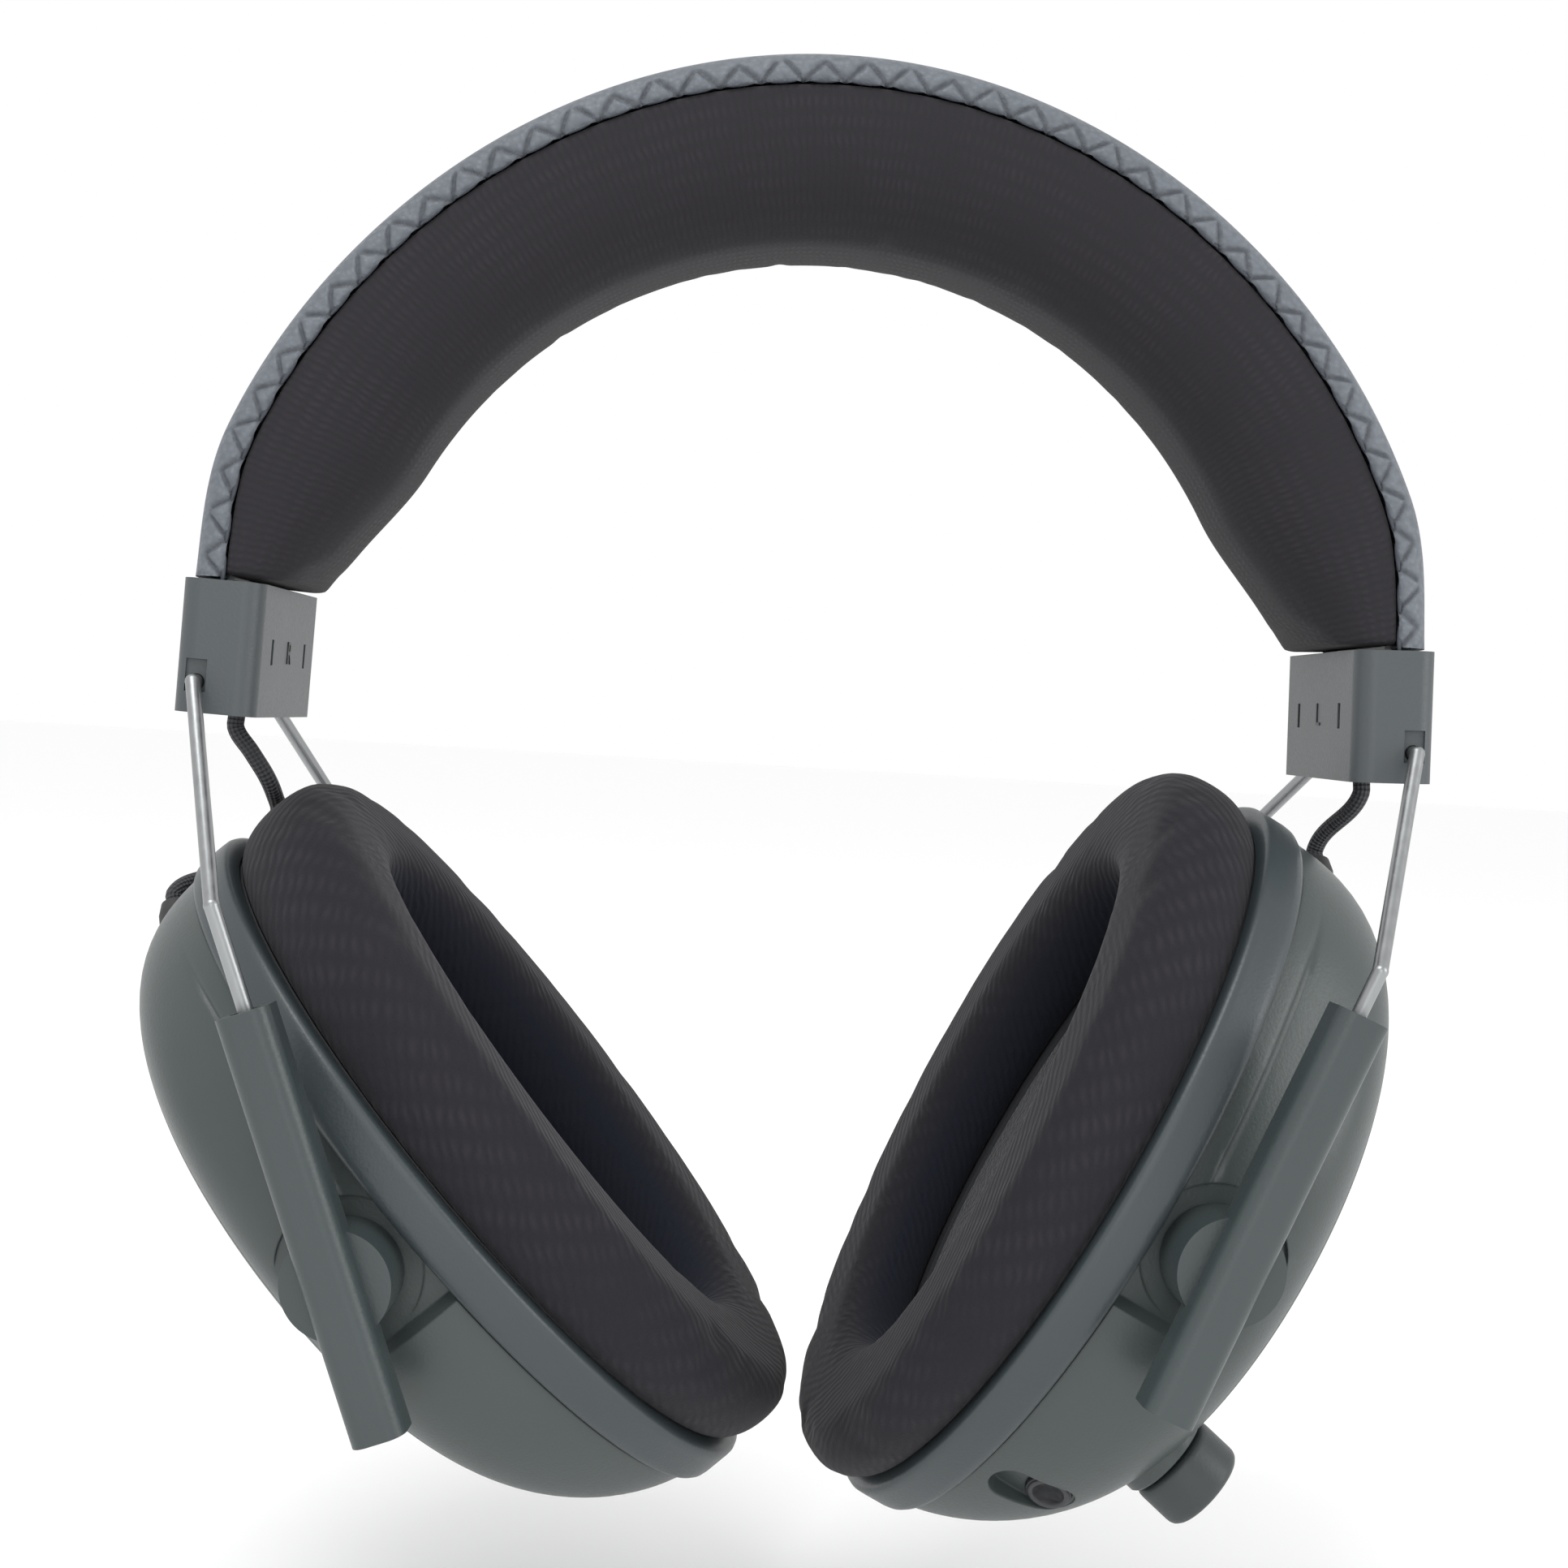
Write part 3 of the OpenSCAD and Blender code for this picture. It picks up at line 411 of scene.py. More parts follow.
def stitches(add, given):
    """Beads stretched along the seam line, one every pitch."""
    line = add("GeometryNodeMeshToCurve", Mesh=given["Geometry"])["Curve"]
    places = add("GeometryNodeResampleCurve", {"mode": "LENGTH"}, Curve=line, Length=given["Pitch"])["Curve"]
    bead = add("GeometryNodeMeshUVSphere", Segments=8, Rings=6, Radius=1.0)["Mesh"]
    size = add("ShaderNodeCombineXYZ", X=given["Thread"], Y=given["Thread"], Z=given["Stitch"])["Vector"]
    heading = add("FunctionNodeAlignRotationToVector", {"axis": "Z"},
                  Vector=add("GeometryNodeInputTangent")["Tangent"])["Rotation"]
    return add("GeometryNodeInstanceOnPoints", Points=places, Instance=bead, Rotation=heading,
               Scale=size)["Instances"]


finish = Finish("seam_thread", (0.03, 0.035, 0.045), 0.6)
twist = finish.noise(2400, 2, finish.places((1, 1, 0.3)))
finish.relief(twist, 0.0001)
seam_thread = finish.feed(Base_Color=finish.tint((0.03, 0.035, 0.045), twist, 0.6, 1.6))

seam = bpy.data.meshes.new("seams")
points, edges = [], []
for side in (-1, 1):
    start = len(points)
    points += [arch(f, cover_top(f) - SIDE_HEIGHT + 0.1, side * (BAND_HALF - 0.3)) for f in stations[6:-6]]
    edges += [(i, i + 1) for i in range(start, len(points) - 1)]
seam.from_pydata(points, edges, [])
grow("seam_stitches", seam, {"Pitch": STITCH * 0.94 / 1000, "Stitch": 0.0019, "Thread": 0.0003}, stitches,
     seam_thread, "headband")


# ---- Crown pad ----
# Foam wrapped in a fine ribbed knit, sewn to the leather's edges and resting on the head.
# The cloth is blown up a little over its foam, and the pad thins toward the caps.

PAD_PRESSURE = 400
PAD_SWELL = 0.0008      # metres, the most that any point of a pad moves


def settle(made, held, pressure, cap, frames=16):
    """Swells a pad's cloth from inside; the held points stay, and none moves further than the cap."""
    before = [v.co.copy() for v in made.data.vertices]
    group = made.vertex_groups.new(name="sewn")
    group.add([i for i, p in enumerate(before) if held(p)], 1.0, "REPLACE")
    cloth = made.modifiers.new("cloth", "CLOTH")
    cloth.settings.mass = 0.01
    cloth.settings.uniform_pressure_force = pressure
    cloth.settings.use_pressure = True
    cloth.settings.effector_weights.gravity = 0
    cloth.settings.vertex_group_mass = "sewn"
    cloth.settings.quality = 5
    cloth.settings.tension_stiffness = 15
    cloth.settings.compression_stiffness = 15
    cloth.settings.bending_stiffness = 0.5
    cloth.point_cache.frame_end = frames
    for number in range(1, frames + 1):
        scene.frame_set(number)
    swollen = made.evaluated_get(bpy.context.evaluated_depsgraph_get())
    after = [v.co.copy() for v in swollen.data.vertices]
    made.modifiers.clear()
    made.vertex_groups.clear()
    scene.frame_set(1)
    for vertex, was, now in zip(made.data.vertices, before, after):
        step = now - was
        vertex.co = was + step * min(1, cap / max(step.length, 1e-9))
    made.data.update()


def finer(made, levels=1):
    """One more subdivision, applied."""
    split = made.modifiers.new("finer", "SUBSURF")
    split.levels = split.render_levels = levels
    mesh = bpy.data.meshes.new_from_object(made.evaluated_get(bpy.context.evaluated_depsgraph_get()))
    made.modifiers.clear()
    made.data = mesh
    face_out(made)


def pad_under(f):
    return 58.2 - 0.6 * cos(f) + 8.6 * smooth((abs(f) - knee) / radians(28))


def pad_ring(f, count=40):
    top, under = cover_top(f) - SIDE_HEIGHT - 0.15, pad_under(f) + 0.5
    ring = []
    for k in range(count + 1):
        a = pi * (0.35 * k / count + 0.65 * smooth(k / count))
        y = signed(cos(a), 0.5) * (BAND_HALF - 0.4)
        ring.append(arch(f, top - (top - under) * sin(a) ** 0.75, y))
    return ring + [arch(f, top, y) for y in (-16.6, -8, 0, 8, 16.6)]


def knit(name, colour, shade, pitch, slant, tone=1.0, inner_shade=None):
    """Charcoal knit whose courses waver; u runs along the piece and v round it, both in metres.

    From the first v given for the shaded inner side to the second, it passes into a dark navy colour, painted
    shade down inside the roll's opening.
    """
    finish = Finish(name, colour, 0.85, Specular_IOR_Level=0.15, Sheen_Weight=0.06, Sheen_Roughness=0.5)
    where, u, v = finish.along_and_round()
    waver = finish.noise(300, 2, where)
    course = v * cos(slant) + u * sin(slant) + waver * (pitch * 1.2)
    wale = u * cos(slant) - v * sin(slant) + waver * (pitch * 0.6)
    loops = course.wave(pitch) * 0.5 + 0.5
    dash = (wale.wave(pitch * 2.6) * 0.5 + 0.5) * loops
    patch = finish.noise(120, 2, where).between(0.3, 0.7)
    fuzz = finish.noise(3000, 2)
    finish.relief(loops * 0.4 + dash * patch * 0.6 + fuzz * 0.4, 0.0001 * tone)
    shown = finish.mix(dash * patch * 0.36 + fuzz * 0.4, shade, colour)
    if inner_shade:
        # The roll's inner side, down into the opening, is painted dark navy: painted shade on the same knit.
        shown = finish.mix(v.between(*inner_shade), shown, (0.012, 0.014, 0.022))
    return finish.feed(Base_Color=shown, Roughness=fuzz * 0.2 + 0.72)


crown_fabric = knit("crown_fabric", (0.034, 0.031, 0.036), (0.017, 0.016, 0.019), 0.0009, radians(88))
ends = [band_end * (2 * i / 150 - 1) for i in range(151)]
rings = [pad_ring(f) for f in ends]
pad = surface("crown_pad_cloth", rings, crown_fabric, u=[f * 0.068 for f in ends],
              v=lengths(rings[75] + rings[75][:1]))
settle(pad, lambda p: hypot(p.x * 1000, p.z * 1000 - ARC_Z) > 73 or p.z * 1000 < ARC_Z + BAND_FOOT + 0.8,
       PAD_PRESSURE, PAD_SWELL)
finer(pad)
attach(pad, "headband")
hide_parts("crown_pad")


# ---- End caps ----
# Moulded caps close the headband's ends; the rods hook into small pockets in their sides.
# Each is marked for its ear on the inner face, and the strip is screwed to a block inside.

def plastic(name, colour, roughness=0.46, edge=0.0, coarse=0.00003):
    """Moulded plastic with a fine eroded texture and faint flow marks."""
    finish = Finish(name, colour, roughness)
    fine, broad = finish.noise(2700, 2), finish.noise(38, 3)
    finish.relief(fine, coarse, edge)
    return finish.feed(Base_Color=finish.tint(colour, broad * 0.7 + fine * 0.3, 0.88, 1.12),
                       Roughness=fine * 0.16 + broad * 0.1 + (roughness - 0.13))


def moulded(node, material, edge, body, suffix="_moulded", angle=38):
    """A copy of a CAD node, merged, with its corners rounded, which stands for the node."""
    made = bpy.data.objects.new(node + suffix, frame["nodes"][node].data.copy())
    scene.collection.objects.link(made)
    shape = bmesh.new()
    shape.from_mesh(made.data)
    bmesh.ops.remove_doubles(shape, verts=shape.verts, dist=2e-6)
    bmesh.ops.dissolve_limit(shape, angle_limit=radians(0.6), verts=shape.verts, edges=shape.edges)
    shape.to_mesh(made.data)
    shape.free()
    face_out(made, 32)
    if edge:
        bevel = made.modifiers.new("edge", "BEVEL")
        bevel.width, bevel.segments, bevel.limit_method, bevel.angle_limit = edge, 3, "ANGLE", radians(angle)
        flat = made.modifiers.new("flat", "WEIGHTED_NORMAL")
        flat.weight = 100
        made.data = bpy.data.meshes.new_from_object(
            made.evaluated_get(bpy.context.evaluated_depsgraph_get()))
        made.modifiers.clear()
    made.data.materials.clear()
    made.data.materials.append(material)
    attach(made, body)
    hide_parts(node)
    return made


cap_plastic = plastic("cap_plastic", (0.052, 0.061, 0.065), 0.42)
inner_plastic = plastic("inner_plastic", (0.03, 0.031, 0.034), 0.55)
screw_steel = steel("screw_steel", (0.48, 0.48, 0.48), 0.35, (1, 1, 1))
for side in SIDES:
    moulded("end_cap_" + side, cap_plastic, 0.0005, "headband")
    dress(inner_plastic, "cap_insert_" + side)
dress(screw_steel, "cap_screws")

mark_paint = plastic("mark_paint", (0.035, 0.037, 0.04), 0.5)
CAP_X, CAP_Z, CAP_LEAN = 72.0, -55.4, radians(1.8)
CAP_INSIDE, CAP_FOOT = 5.02, 8.15       # from a cap's middle to its marked face, and to its underside
for side, letter in (("left", "L"), ("right", "R")):
    sign = 1 if side == "left" else -1
    text = bpy.data.curves.new("mark", "FONT")
    text.body, text.size, text.extrude = letter, 0.0042, 0.00012
    text.align_x, text.align_y = "CENTER", "CENTER"
    drawn = bpy.data.objects.new("mark_draft", text)
    scene.collection.objects.link(drawn)
    mesh = bpy.data.meshes.new_from_object(drawn.evaluated_get(bpy.context.evaluated_depsgraph_get()))
    bpy.data.objects.remove(drawn)
    lean = Matrix.Rotation(-sign * CAP_LEAN, 4, "Y")
    stand = Matrix.Rotation(radians(-90 * sign), 4, "Z") @ Matrix.Rotation(radians(90), 4, "X")
    place = Matrix.Translation((sign * CAP_X / 1000, 0, CAP_Z / 1000)) @ lean
    mesh.transform(place @ Matrix.Translation((-sign * CAP_INSIDE / 1000, 0, 0)) @ stand)
    mark = bpy.data.objects.new("ear_mark_" + side, mesh)
    scene.collection.objects.link(mark)
    mesh.materials.clear()
    mesh.materials.append(mark_paint)
    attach(mark, "headband")


# ---- Rods ----
# Four bright drawn-steel rods, hooked into the caps and bent to run straight down the tubes.
# Drawing the wire has left faint lines along them.

rod_steel = steel("rod_steel", (0.32, 0.33, 0.335), 0.34, (1, 1, 0.08))
for side in SIDES:
    for end in ("front", "rear"):
        moulded(f"rod_{end}_{side}", rod_steel, 0, "headband", "_drawn")


# ---- Slider tubes, bushes and pivot pins ----
# Square tubes with soft corners run on the rods; each carries a disc that the cup turns against.
# A pressed-in bush guides the rod and a headed pin holds the cup.

tube_plastic = plastic("tube_plastic", (0.038, 0.049, 0.05), 0.4)
bush_plastic = plastic("bush_plastic", (0.5, 0.52, 0.52), 0.3)
for side in SIDES:
    for end in ("front", "rear"):
        moulded(f"tube_{end}_{side}", tube_plastic, 0.00045, "slider_" + side)
    moulded("slider_bushes_" + side, bush_plastic, 0.00012, "slider_" + side)
    dress(screw_steel, "pivot_pins_" + side)


# ---- Rings of the ear cups ----
# A smooth moulded band with rounded lips, which the cushion clips into and the shell sits on.
# Each is one oval piece of dark grey plastic, the same on both cups.

CUP_TILT = {"left": 28.0, "right": 43.1}
CUP_DEPTH = {"left": 29.6, "right": 26.6}
PIVOT_DEPTH, RING_A, RING_B, RING_H = 14.0, 38.4, 51.0, 6.0


def cup_frame(side):
    """A cup's own frame in millimetres: x is the depth out from the cushion, y back, z up the cup."""
    hinge = joint["tilt_" + side]
    back = Vector(hinge["axis"])
    out = back.cross(Vector((0, 0, 1))) * (1 if side == "left" else -1)
    a = radians(CUP_TILT[side])
    depth = out * cos(a) - Vector((0, 0, sin(a)))
    up = out * sin(a) + Vector((0, 0, cos(a)))
    foot = Vector(hinge["pos_m"]) - depth * PIVOT_DEPTH / 1000
    return Matrix.Translation(foot) @ Matrix((depth, back, up)).transposed().to_4x4() @ Matrix.Scale(0.001, 4)


cup = {side: cup_frame(side) for side in SIDES}
AROUND = 240
turns = [2 * pi * i / AROUND for i in range(AROUND)]
lip = [(0.15, 1.6), (0.12, 0.75), (0.3, 0.28), (0.75, 0.04), (1.5, 0), (3, 0), (4.4, 0), (5.2, 0.1),
       (5.7, 0.4), (5.95, 0.95), (RING_H, 1.8), (RING_H, 2.6), (0.15, 2.6)]
ring_plastic = plastic("ring_plastic", (0.036, 0.046, 0.05), 0.38)
for side in SIDES:
    rows = [[cup[side] @ Vector((d, (RING_A - w) * cos(f), (RING_B - w) * sin(f))) for d, w in lip]
            for f in turns]
    ring = surface("cup_ring_moulded_" + side, rows, ring_plastic, joined=True)
    face_out(ring, 50)
    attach(ring, "cup_" + side)
    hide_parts("cup_ring_" + side)


# ---- Outer shells ----
# Deep moulded shells with a round pocket for each pivot disc. Above the pocket the side wall is
# drawn in behind the tube; below it the wall stands full, from a crisp corner.

DOME_A, DOME_B = RING_A - 1, RING_B - 1
SHELL_FOOT = 6.06       # just over the ring
SHELL_INSIDE = 4.6      # its inner face, in from the dome
POCKET_FLOOR, POCKET_R, PIN_BORE_R = 34.6, 8.7, 2.1
MIC_AT, MIC_DEPTH, JACK_OFF = radians(227), 13.5, 2.2       # round the wall, and out from the cushion
BUTTONS_AT, BUTTON_DEPTH = (radians(322), radians(309)), 15
CHARGE_AT, AUX_AT, LIGHT_AT, SOCKET_DEPTH = radians(285), radians(262), radians(296), 13


def edge_power(f):
    return 5 * cos(f) ** 2 + (3.5 if sin(f) > 0 else 2.5) * sin(f) ** 2


def dome(side, f, q, wall=0.0):
    e = 2 / edge_power(f)
    s = cos(q) ** e
    return Vector(((CUP_DEPTH[side] - wall) * sin(q) ** e, (DOME_A - wall) * cos(f) * s,
                   (DOME_B - wall) * sin(f) * s))


def depth_angle(side, f, d, wall=0.0):
    return asin((d / (CUP_DEPTH[side] - wall)) ** (edge_power(f) / 2))


def seam_angle(f, gap=0.0, wall=0.0):
    return acos(((0.84 * DOME_A + gap) / (DOME_A - wall)) ** (edge_power(f) / 2))


def crown(side, wall, k, gap=0.0, top=88):
    """One ring of the dome's closed end: at its seam where k is 0, and near its middle where k is 1."""
    return [dome(side, f, seam_angle(f, gap, wall) * (1 - k) + radians(top) * k, wall) for f in turns]


def draw_in(p):
    """Sets a point of the side wall inward, above the pocket and near the ring."""
    share = smooth((p.z + 10.2) / 0.9) * smooth((46 - p.z) / 22) * smooth((22 - p.x) / 9)
    share *= smooth((abs(p.y) / DOME_A - 0.3) / 0.35)
    groove = exp(-((p.x - 9.3) / 0.28) ** 2) * smooth((p.z - 6) / 4) * smooth((44 - p.z) / 10) * 0.35
    p.y -= (1 if p.y > 0 else -1) * (2.1 * share + groove * smooth(abs(p.y) / DOME_A * 3 - 0.6))
    return p


def rim(side, f, d):
    """A place on the side wall: x stays the depth, and z points straight out."""
    p = dome(side, f, depth_angle(side, f, d))
    lean = atan2(p.z / DOME_B ** 2, p.y / DOME_A ** 2) - pi / 2
    return Matrix.Translation((d, p.y, p.z)) @ Matrix.Rotation(lean, 4, "X")


def cutter(name, shapes):
    """Cylinders and boxes in a cup's frame, as one cutting body: (place, radius or box sides, height)."""
    shape = bmesh.new()
    for place, size, height in shapes:
        if isinstance(size, tuple):
            bmesh.ops.create_cube(shape, size=1, matrix=place @ Matrix.Diagonal((*size, height, 1)))
        else:
            bmesh.ops.create_cone(shape, cap_ends=True, segments=64, radius1=size, radius2=size, depth=height,
                                  matrix=place)
    mesh = bpy.data.meshes.new(name)
    shape.to_mesh(mesh)
    shape.free()
    made = bpy.data.objects.new(name, mesh)
    scene.collection.objects.link(made)
    return made


def cut(made, knife, place):
    """Takes the cutting body out of a piece."""
    knife.data.transform(place)
    face_out(knife)
    hole = made.modifiers.new("cut", "BOOLEAN")
    hole.operation, hole.solver, hole.use_self, hole.object = "DIFFERENCE", "EXACT", True, knife
    mesh = bpy.data.meshes.new_from_object(made.evaluated_get(bpy.context.evaluated_depsgraph_get()))
    made.modifiers.clear()
    made.data = mesh
    bpy.data.objects.remove(knife)


def shift(x=0.0, y=0.0, z=0.0):
    return Matrix.Translation((x, y, z))


def shell_cuts(side):
    """Pockets and pin bores on both faces, the gland's hole, and on the left the sockets and buttons."""
    shapes = []
    for y in (-1, 1):
        out = Matrix.Rotation(radians(-90 * y), 4, "X")
        shapes += [(shift(PIVOT_DEPTH, y * POCKET_FLOOR) @ out @ shift(z=20), POCKET_R, 40),
                   (shift(PIVOT_DEPTH, y * 26) @ out @ shift(z=10), PIN_BORE_R, 20)]
    shapes.append((gland_place, 2.25, 16))
    if side == "left":
        mic = rim(side, MIC_AT, MIC_DEPTH)
        shapes += [(mic @ shift(x, 0, 3), 2.9, 10) for x in (-2.6, 2.6)]
        shapes += [(mic @ shift(0, 0, 3), (5.2, 5.8), 10), (mic @ shift(JACK_OFF, 0, -6), 2.85, 12)]
        shapes += [(rim(side, f, BUTTON_DEPTH) @ shift(z=2), 2.8, 16) for f in BUTTONS_AT]
        port = rim(side, CHARGE_AT, SOCKET_DEPTH)
        shapes += [(port @ shift(0, y, 2), 1.8, 20) for y in (-2.9, 2.9)]
        shapes += [(port @ shift(z=2), (3.6, 5.8), 20), (rim(side, AUX_AT, SOCKET_DEPTH), 2.9, 24),
                   (rim(side, LIGHT_AT, SOCKET_DEPTH) @ shift(z=2), 1.1, 16)]
    return shapes


gland_place = shift(14.5, 3, 0.955 * DOME_B) @ Matrix.Rotation(radians(-25), 4, "Y") @ Matrix.Rotation(
    radians(-30), 4, "X")
shell_plastic = plastic("shell_plastic", (0.042, 0.053, 0.052), 0.38, 0.0004)
side_depths = (SHELL_FOOT, 6.5, 7.4, 8.4, 8.9, 9.15, 9.3, 9.45, 9.7, 10.4, 11.6, 12.8, 14)
for side in SIDES:
    rows = [crown(side, SHELL_INSIDE, k, 0.3) for k in (0.98, 0.85, 0.6, 0.3)]
    for d in (16, 10, SHELL_FOOT):
        rows.append([dome(side, f, depth_angle(side, f, d, SHELL_INSIDE), SHELL_INSIDE) for f in turns])
    rows += [[draw_in(dome(side, f, depth_angle(side, f, d))) for f in turns] for d in side_depths]
    for t in (0.15, 0.3, 0.45, 0.6, 0.74, 0.86, 0.94, 0.985, 1):
        rows.append([draw_in(dome(side, f, depth_angle(side, f, 14) * (1 - t) + seam_angle(f, 0.32) * t))
                     for f in turns])
    for wall, k in ((0.12, 0), (0.9, 0), (1.35, 0), (1.35, 0.3), (1.35, 0.65), (1.35, 0.98)):
        rows.append(crown(side, wall, k, 0.1 if wall < 0.5 else 0.3))
    rows = [[cup[side] @ p for p in row] for row in rows]
    shell = surface("outer_shell_moulded_" + side, rows, shell_plastic)
    cut(shell, cutter("shell_knife", shell_cuts(side)), cup[side])
    face_out(shell, 34)
    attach(shell, "cup_" + side)
    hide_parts("outer_shell_" + side)


# ---- Outer covers ----
# A thin domed plate closes each cup's outer face, with a fine parting gap round it.
# The left one carries the round seat of the volume knob.

COVER_T = 1.2
KNOB_Y, KNOB_Z = -17.0, -24.6
cover_plastic = plastic("cover_plastic", (0.042, 0.053, 0.052), 0.37, 0.0003)
reach = hypot(KNOB_Y / DOME_A, KNOB_Z / DOME_B)
power = edge_power(atan2(KNOB_Z / DOME_B, KNOB_Y / DOME_A))
knob_seat = CUP_DEPTH["left"] * (1 - reach ** power) ** (1 / power)
knob_line = shift(knob_seat, KNOB_Y, KNOB_Z) @ Matrix.Rotation(radians(102), 4, "Y") @ Matrix.Rotation(
    radians(8), 4, "X")


def lathe(name, profile, place, material, count=96):
    """A turned piece: rings of (radius, height) about the place's z axis."""
    around = [2 * pi * i / count for i in range(count)]
    rows = [[place @ Vector((max(r, 0.01) * cos(a), max(r, 0.01) * sin(a), h)) for a in around]
            for r, h in profile]
    return surface(name, rows, material)


for side in SIDES:
    rows = [crown(side, COVER_T, k) for k in (0.98, 0.7, 0.4, 0.12)]
    rows += [crown(side, wall, 0) for wall in (1.15, 0.5, 0.2)]
    rows.append(crown(side, 0.04, 0.012, top=89))
    rows += [crown(side, 0, k, top=89) for k in (0.035, 0.1, 0.2, 0.35, 0.5, 0.65, 0.8, 0.9, 0.985)]
    rows = [[cup[side] @ p for p in row] for row in rows]
    lid = surface("outer_cover_moulded_" + side, rows, cover_plastic)
    face_out(lid, 45)
    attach(lid, "cup_" + side)
    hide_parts("outer_cover_" + side)
seat = lathe("knob_seat", [(2.3, -2), (2.3, 1.2), (5.6, 1.2), (6.0, 1.1), (6.2, 0.85), (6.2, -3), (2.4, -3)],
             cup["left"] @ knob_line, cover_plastic)
face_out(seat, 30)
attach(seat, "cup_left")


# ---- Ear cushions ----
# Oval rolls of soft foam in a charcoal sports knit, painted dark navy down into the opening as shade.
# Each sleeve is sewn to a plate that clips into the ring; the foam swells between the two.

CUSHION = {"left": 12.8, "right": 15.0}
ROLL, TAPER = 17.0, 4.0
MIDDLE_A, MIDDLE_B = RING_A - ROLL / 2 - 0.2, RING_B - ROLL / 2 - 0.2
ROLL_STEPS, ROLL_POINTS = 132, 34
INNER_SHADE_POINTS = (20, 23)    # round the roll, where the knit gives way to painted shade on the inner side


def cushion_point(side, f, g):
    """g goes round the roll: 0 at its back, a quarter turn at its outer side, a half turn at its face."""
    t = CUSHION[side] - TAPER * (1 - sin(f)) / 2 - 0.7
    x = min(-0.06, -t / 2 + (t / 2 + 2.2) * signed(cos(g), 0.88))
    r = (ROLL / 2 - 0.15) * signed(sin(g), 0.8)
    return Vector((max(x, -t), (MIDDLE_A + r) * cos(f), (MIDDLE_B + r) * sin(f)))


steps = [2 * pi * i / ROLL_STEPS for i in range(ROLL_STEPS)]
round_roll = [2 * pi * (k + 0.5) / ROLL_POINTS for k in range(ROLL_POINTS)]
section = lengths([cushion_point("right", 0, g) / 1000 for g in round_roll])
cushion_knit = knit("cushion_knit", (0.033, 0.03, 0.036), (0.012, 0.0115, 0.015), 0.00125, radians(38), 1.2,
                    [section[k] for k in INNER_SHADE_POINTS])
for side in SIDES:
    rows = [[cup[side] @ cushion_point(side, f, g) for g in round_roll] for f in steps]
    middle = [row[ROLL_POINTS // 2] for row in rows + rows[:1]]
    roll = surface("ear_cushion_sewn_" + side, rows, cushion_knit, joined=True, u=lengths(middle),
                   v=lengths(rows[0] + rows[0][:1]))
    into_cup = cup[side].inverted()
    settle(roll, lambda p: (into_cup @ p).x > -0.5, PAD_PRESSURE, PAD_SWELL)
    finer(roll)
    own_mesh(roll)
    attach(roll, "cup_" + side)
    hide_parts("ear_cushion_" + side)


# ---- Cushion plates and cloth over the drivers ----
# A thin black plate holds each cushion, and a light cloth is stretched across its opening.
# The plate is moulded plastic; the cloth is a fine open weave, fixed round its edge.

finish = Finish("scrim_cloth", (0.022, 0.023, 0.028), 0.9, Sheen_Weight=0.2)
where = finish.places()
threads = finish.noise(1900, 1, where).between(0.3, 0.7)
finish.relief(threads, 0.0001)
scrim_cloth = finish.feed(Base_Color=finish.mix(threads, (0.012, 0.013, 0.016), (0.03, 0.031, 0.037)))
for side in SIDES:
    dress(inner_plastic, "cushion_plate_" + side)
    dress(scrim_cloth, "scrim_" + side)


# ---- Baffles, drivers and their screws ----
# Behind the cloth a perforated board carries the driver: film, basket and magnet.
# Board and basket are moulded plastic, the magnet is plated, and screws fix the board in the cup.

diaphragm_film = plastic("diaphragm_film", (0.55, 0.55, 0.5), 0.2)
plated_metal = steel("plated_metal", (0.6, 0.6, 0.6), 0.25, (1, 1, 1))
for side in SIDES:
    dress(inner_plastic, "baffle_" + side, "driver_basket_" + side)
    dress(diaphragm_film, "diaphragm_" + side)
    dress(plated_metal, "driver_magnet_" + side)
    dress(screw_steel, "cup_screws_" + side)


# ---- Volume knob ----
# A plain turned knob on the lower front of the left cup's face, its rim rounded over.
# It is plastic, and its stem reaches through the cover to the encoder behind.

control_plastic = plastic("control_plastic", (0.032, 0.039, 0.041), 0.45)
knob_outline = [(1.9, -6), (1.9, 1.5), (5.2, 1.55), (5.6, 1.7), (5.85, 2.1), (5.9, 2.6), (5.9, 4.6),
                (5.9, 6.4), (5.86, 6.9), (5.7, 7.3), (5.4, 7.58), (4.9, 7.72), (4.2, 7.75), (2, 7.72),
                (0.1, 7.7)]
knob = lathe("volume_knob_turned", knob_outline, cup["left"] @ knob_line, control_plastic)
face_out(knob, 55)
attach(knob, "volume_knob")
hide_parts("volume_knob")


# ---- Buttons, sockets and light ----
# On the left cup: two push buttons behind, a recessed jack for a boom microphone in front,
# and the charging port, audio jack and light underneath.

for name in ("power_button", "mute_button"):
    moulded(name, control_plastic, 0.00035, name)
for name in ("mic_socket", "aux_socket"):
    moulded(name, inner_plastic, 0.0002, "cup_left")
contact_outline = [(1.9, -1.42), (1.9, -1.25), (2.05, -1.15), (2.4, -1.15), (2.55, -1.25), (2.55, -1.42)]
for name, f, d, off in (("mic", MIC_AT, MIC_DEPTH, JACK_OFF), ("aux", AUX_AT, SOCKET_DEPTH, 0)):
    place = cup["left"] @ rim("left", f, d) @ shift(off)
    spring = lathe(name + "_contact_ring", contact_outline, place, inner_plastic, 48)
    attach(spring, "cup_left")
dress(plated_metal, "charge_socket")
dress(plastic("light_pipe", (0.7, 0.7, 0.7), 0.25), "status_light")


# ---- Circuit boards, encoder and battery ----
# Inside the left cup: main board, switch board, aerial board and the knob's encoder.
# The battery balances them in the right cup.

def board(name, colour, stripe):
    finish = Finish(name, colour, 0.35, Coat_Weight=0.4)
    tracks = finish.noise(260, 1, finish.places((1, 4, 1))).between(0.48, 0.52)
    finish.relief(tracks, 0.00003)
    return finish.feed(Base_Color=finish.mix(tracks, colour, stripe))


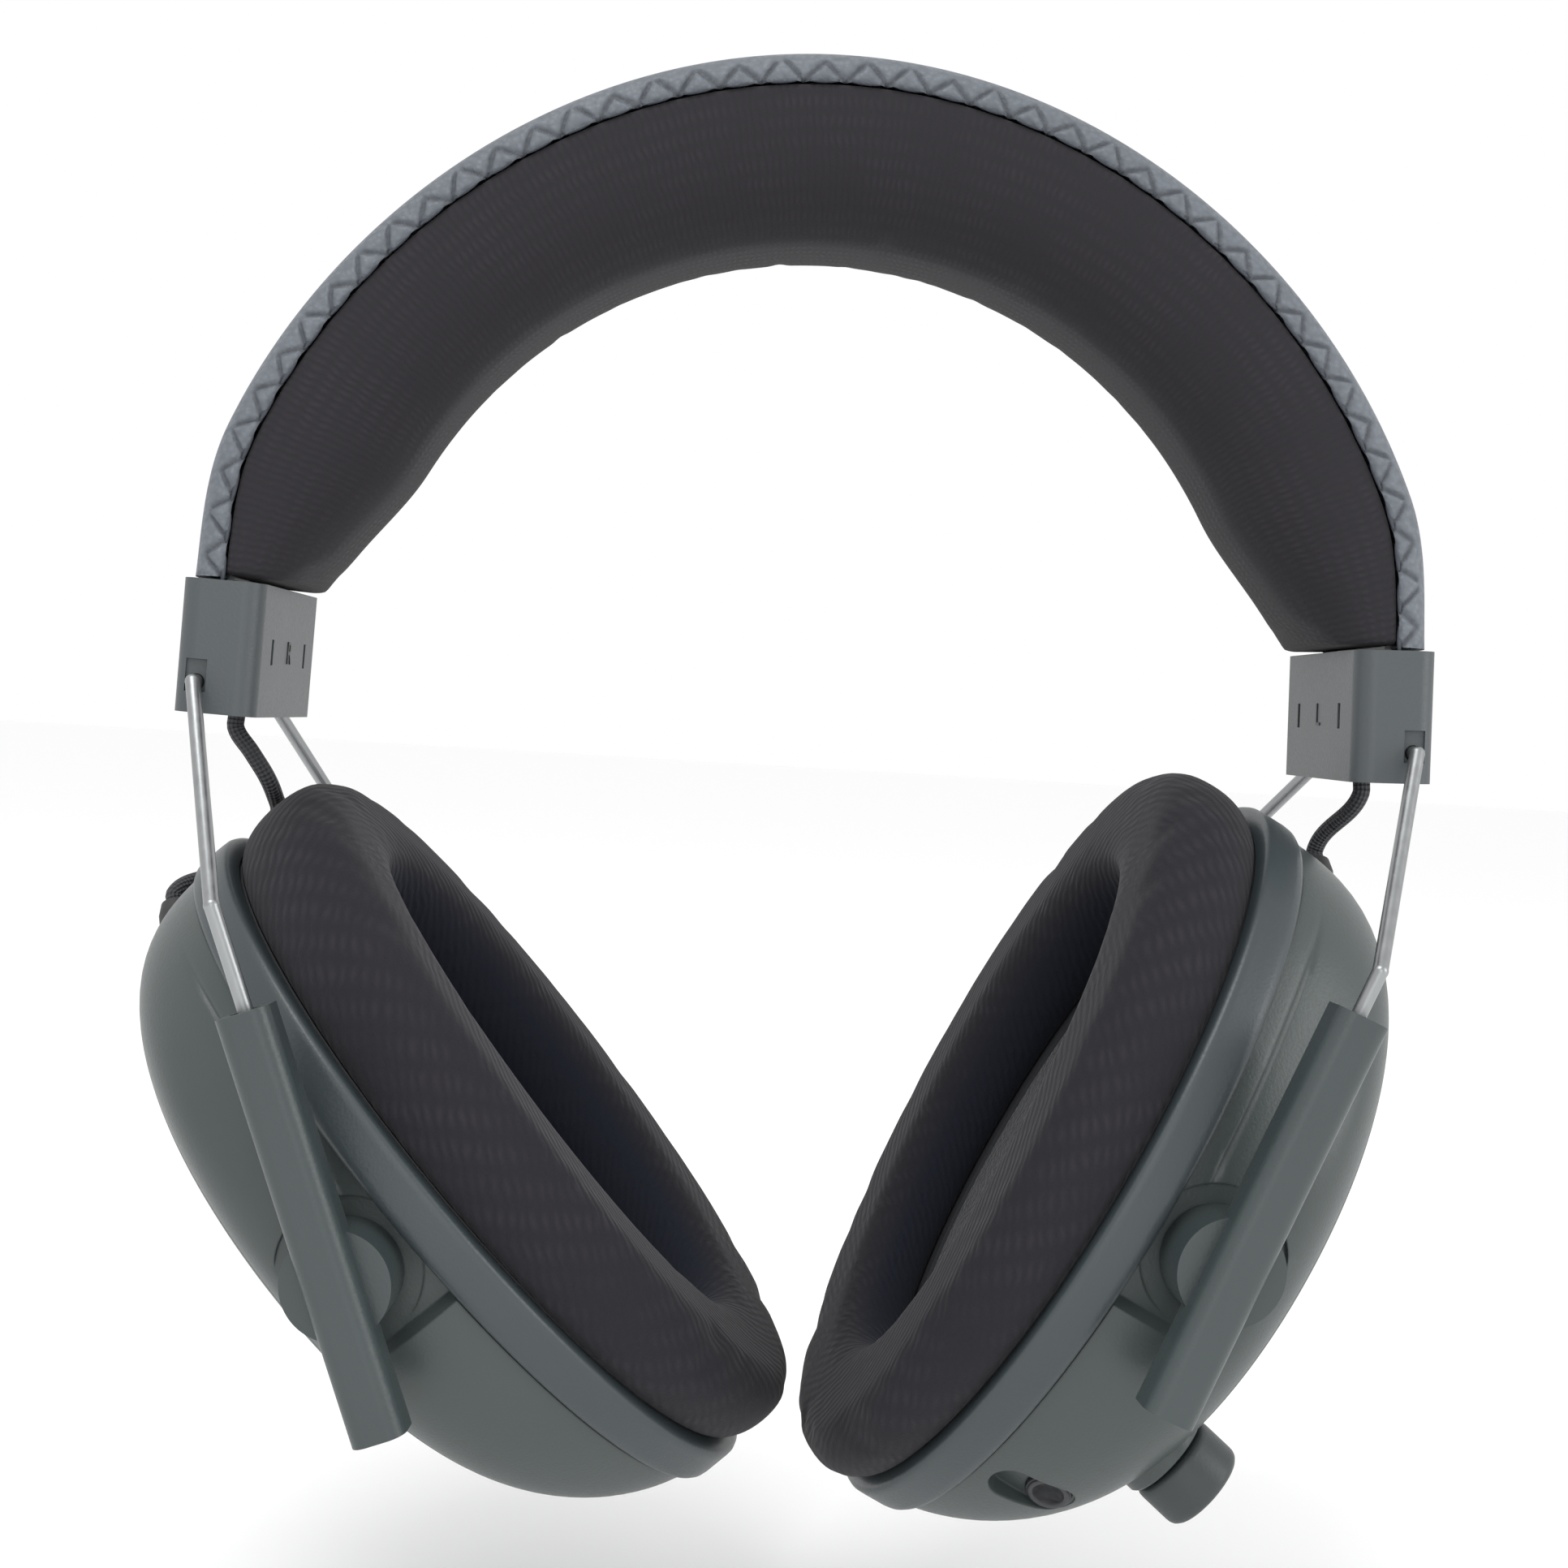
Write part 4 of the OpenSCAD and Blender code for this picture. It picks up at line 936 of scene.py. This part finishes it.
circuit_board = board("circuit_board", (0.015, 0.09, 0.04), (0.02, 0.14, 0.06))
dress(circuit_board, "main_board", "antenna_board", "switch_board", "volume_encoder")
dress(board("battery_wrap", (0.08, 0.2, 0.34), (0.09, 0.22, 0.37)), "battery")


# ---- Link cables and glands ----
# A short braided cable runs from the foot of each cap to a rubber gland on its cup.
# It is made in two halves, an upper and a lower.

CABLE_R = 0.0011
STRAND = 0.0011


def braid(name):
    """Two sets of strands crossing round the cable."""
    finish = Finish(name, (0.03, 0.03, 0.033), 0.7)
    where, u, v = finish.along_and_round()
    strands = (u + v).wave(STRAND) * (u - v).wave(STRAND)
    finish.relief(strands, 0.00015)
    shown = finish.mix(strands * 0.5 + 0.5, (0.016, 0.016, 0.019), (0.06, 0.062, 0.068))
    return finish.feed(Base_Color=shown)


def through(points, pitch):
    """A smooth line through the points, with a place about every pitch."""
    steps = [(b - a).normalized() for a, b in zip(points, points[1:])]
    heading = [(a + b).normalized() for a, b in zip([steps[0]] + steps, steps + [steps[-1]])]
    line = []
    for i, (b, c) in enumerate(zip(points, points[1:])):
        reach = (c - b).length
        count = ceil(reach / pitch)
        for t in (k / count for k in range(count)):
            turn = t * (1 - t) * reach
            bend = turn * (1 - t) * heading[i] - turn * t * heading[i + 1]
            line.append(b + t * t * (3 - 2 * t) * (c - b) + bend)
    return line + [points[-1]]


def cable(name, line, radius, material):
    """A round tube along a line."""
    rows = []
    for i, p in enumerate(line):
        ahead = (line[min(i + 1, len(line) - 1)] - line[max(i - 1, 0)]).normalized()
        across = ahead.cross(Vector((0, 1, 0.01))).normalized()
        over = across.cross(ahead)
        angles = [pi * k / 10 for k in range(20)]
        rows.append([p + radius * (cos(a) * across + sin(a) * over) for a in angles])
    return surface(name, rows, material, u=lengths(line), v=[radius * pi * k / 10 for k in range(21)])


cable_braid = braid("cable_braid")
gland_rubber = plastic("gland_rubber", (0.025, 0.025, 0.027), 0.6)
for side in SIDES:
    sign = 1 if side == "left" else -1
    lean = Matrix.Rotation(-CAP_LEAN, 4, "Y")

    def at_cap(x, y, z):
        p = lean @ Vector((x, y, z)) + Vector((CAP_X, 0, CAP_Z))
        return Vector((sign * p.x, p.y, p.z)) / 1000

    route = [at_cap(1, 0, h - CAP_FOOT) for h in (1, -0.4, -1.8)]
    if side == "right":
        route += [Vector((-CAP_X + x, y, CAP_Z - z)) / 1000
                  for x, y, z in ((0.8, 0.3, 13), (2.6, 1.5, 16), (3.2, 4.5, 18.6))]
        route += [cup[side] @ Vector(p) for p in ((-3.6, 9.5, RING_B), (1, 13, RING_B - 1.5),
                                                  (6.5, 12.5, RING_B - 1.3))]
    route += [cup[side] @ gland_place @ Vector((0, 0, h)) for h in (4.4, 3.2, 2.1, 1)]
    line = through(route, 0.0006)
    total = lengths(line)
    half = next(i for i, length in enumerate(total) if length > total[-1] / 2)
    upper = cable("link_cable_upper_" + side, line[:half + 1], CABLE_R, cable_braid)
    lower = cable("link_cable_lower_" + side, line[half:], CABLE_R, cable_braid)
    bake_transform(upper)
    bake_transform(lower)
    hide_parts("link_cable_" + side)
    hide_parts("link_cable_" + side)
    moulded("cable_gland_" + side, gland_rubber, 0.0002, "cup_" + side)
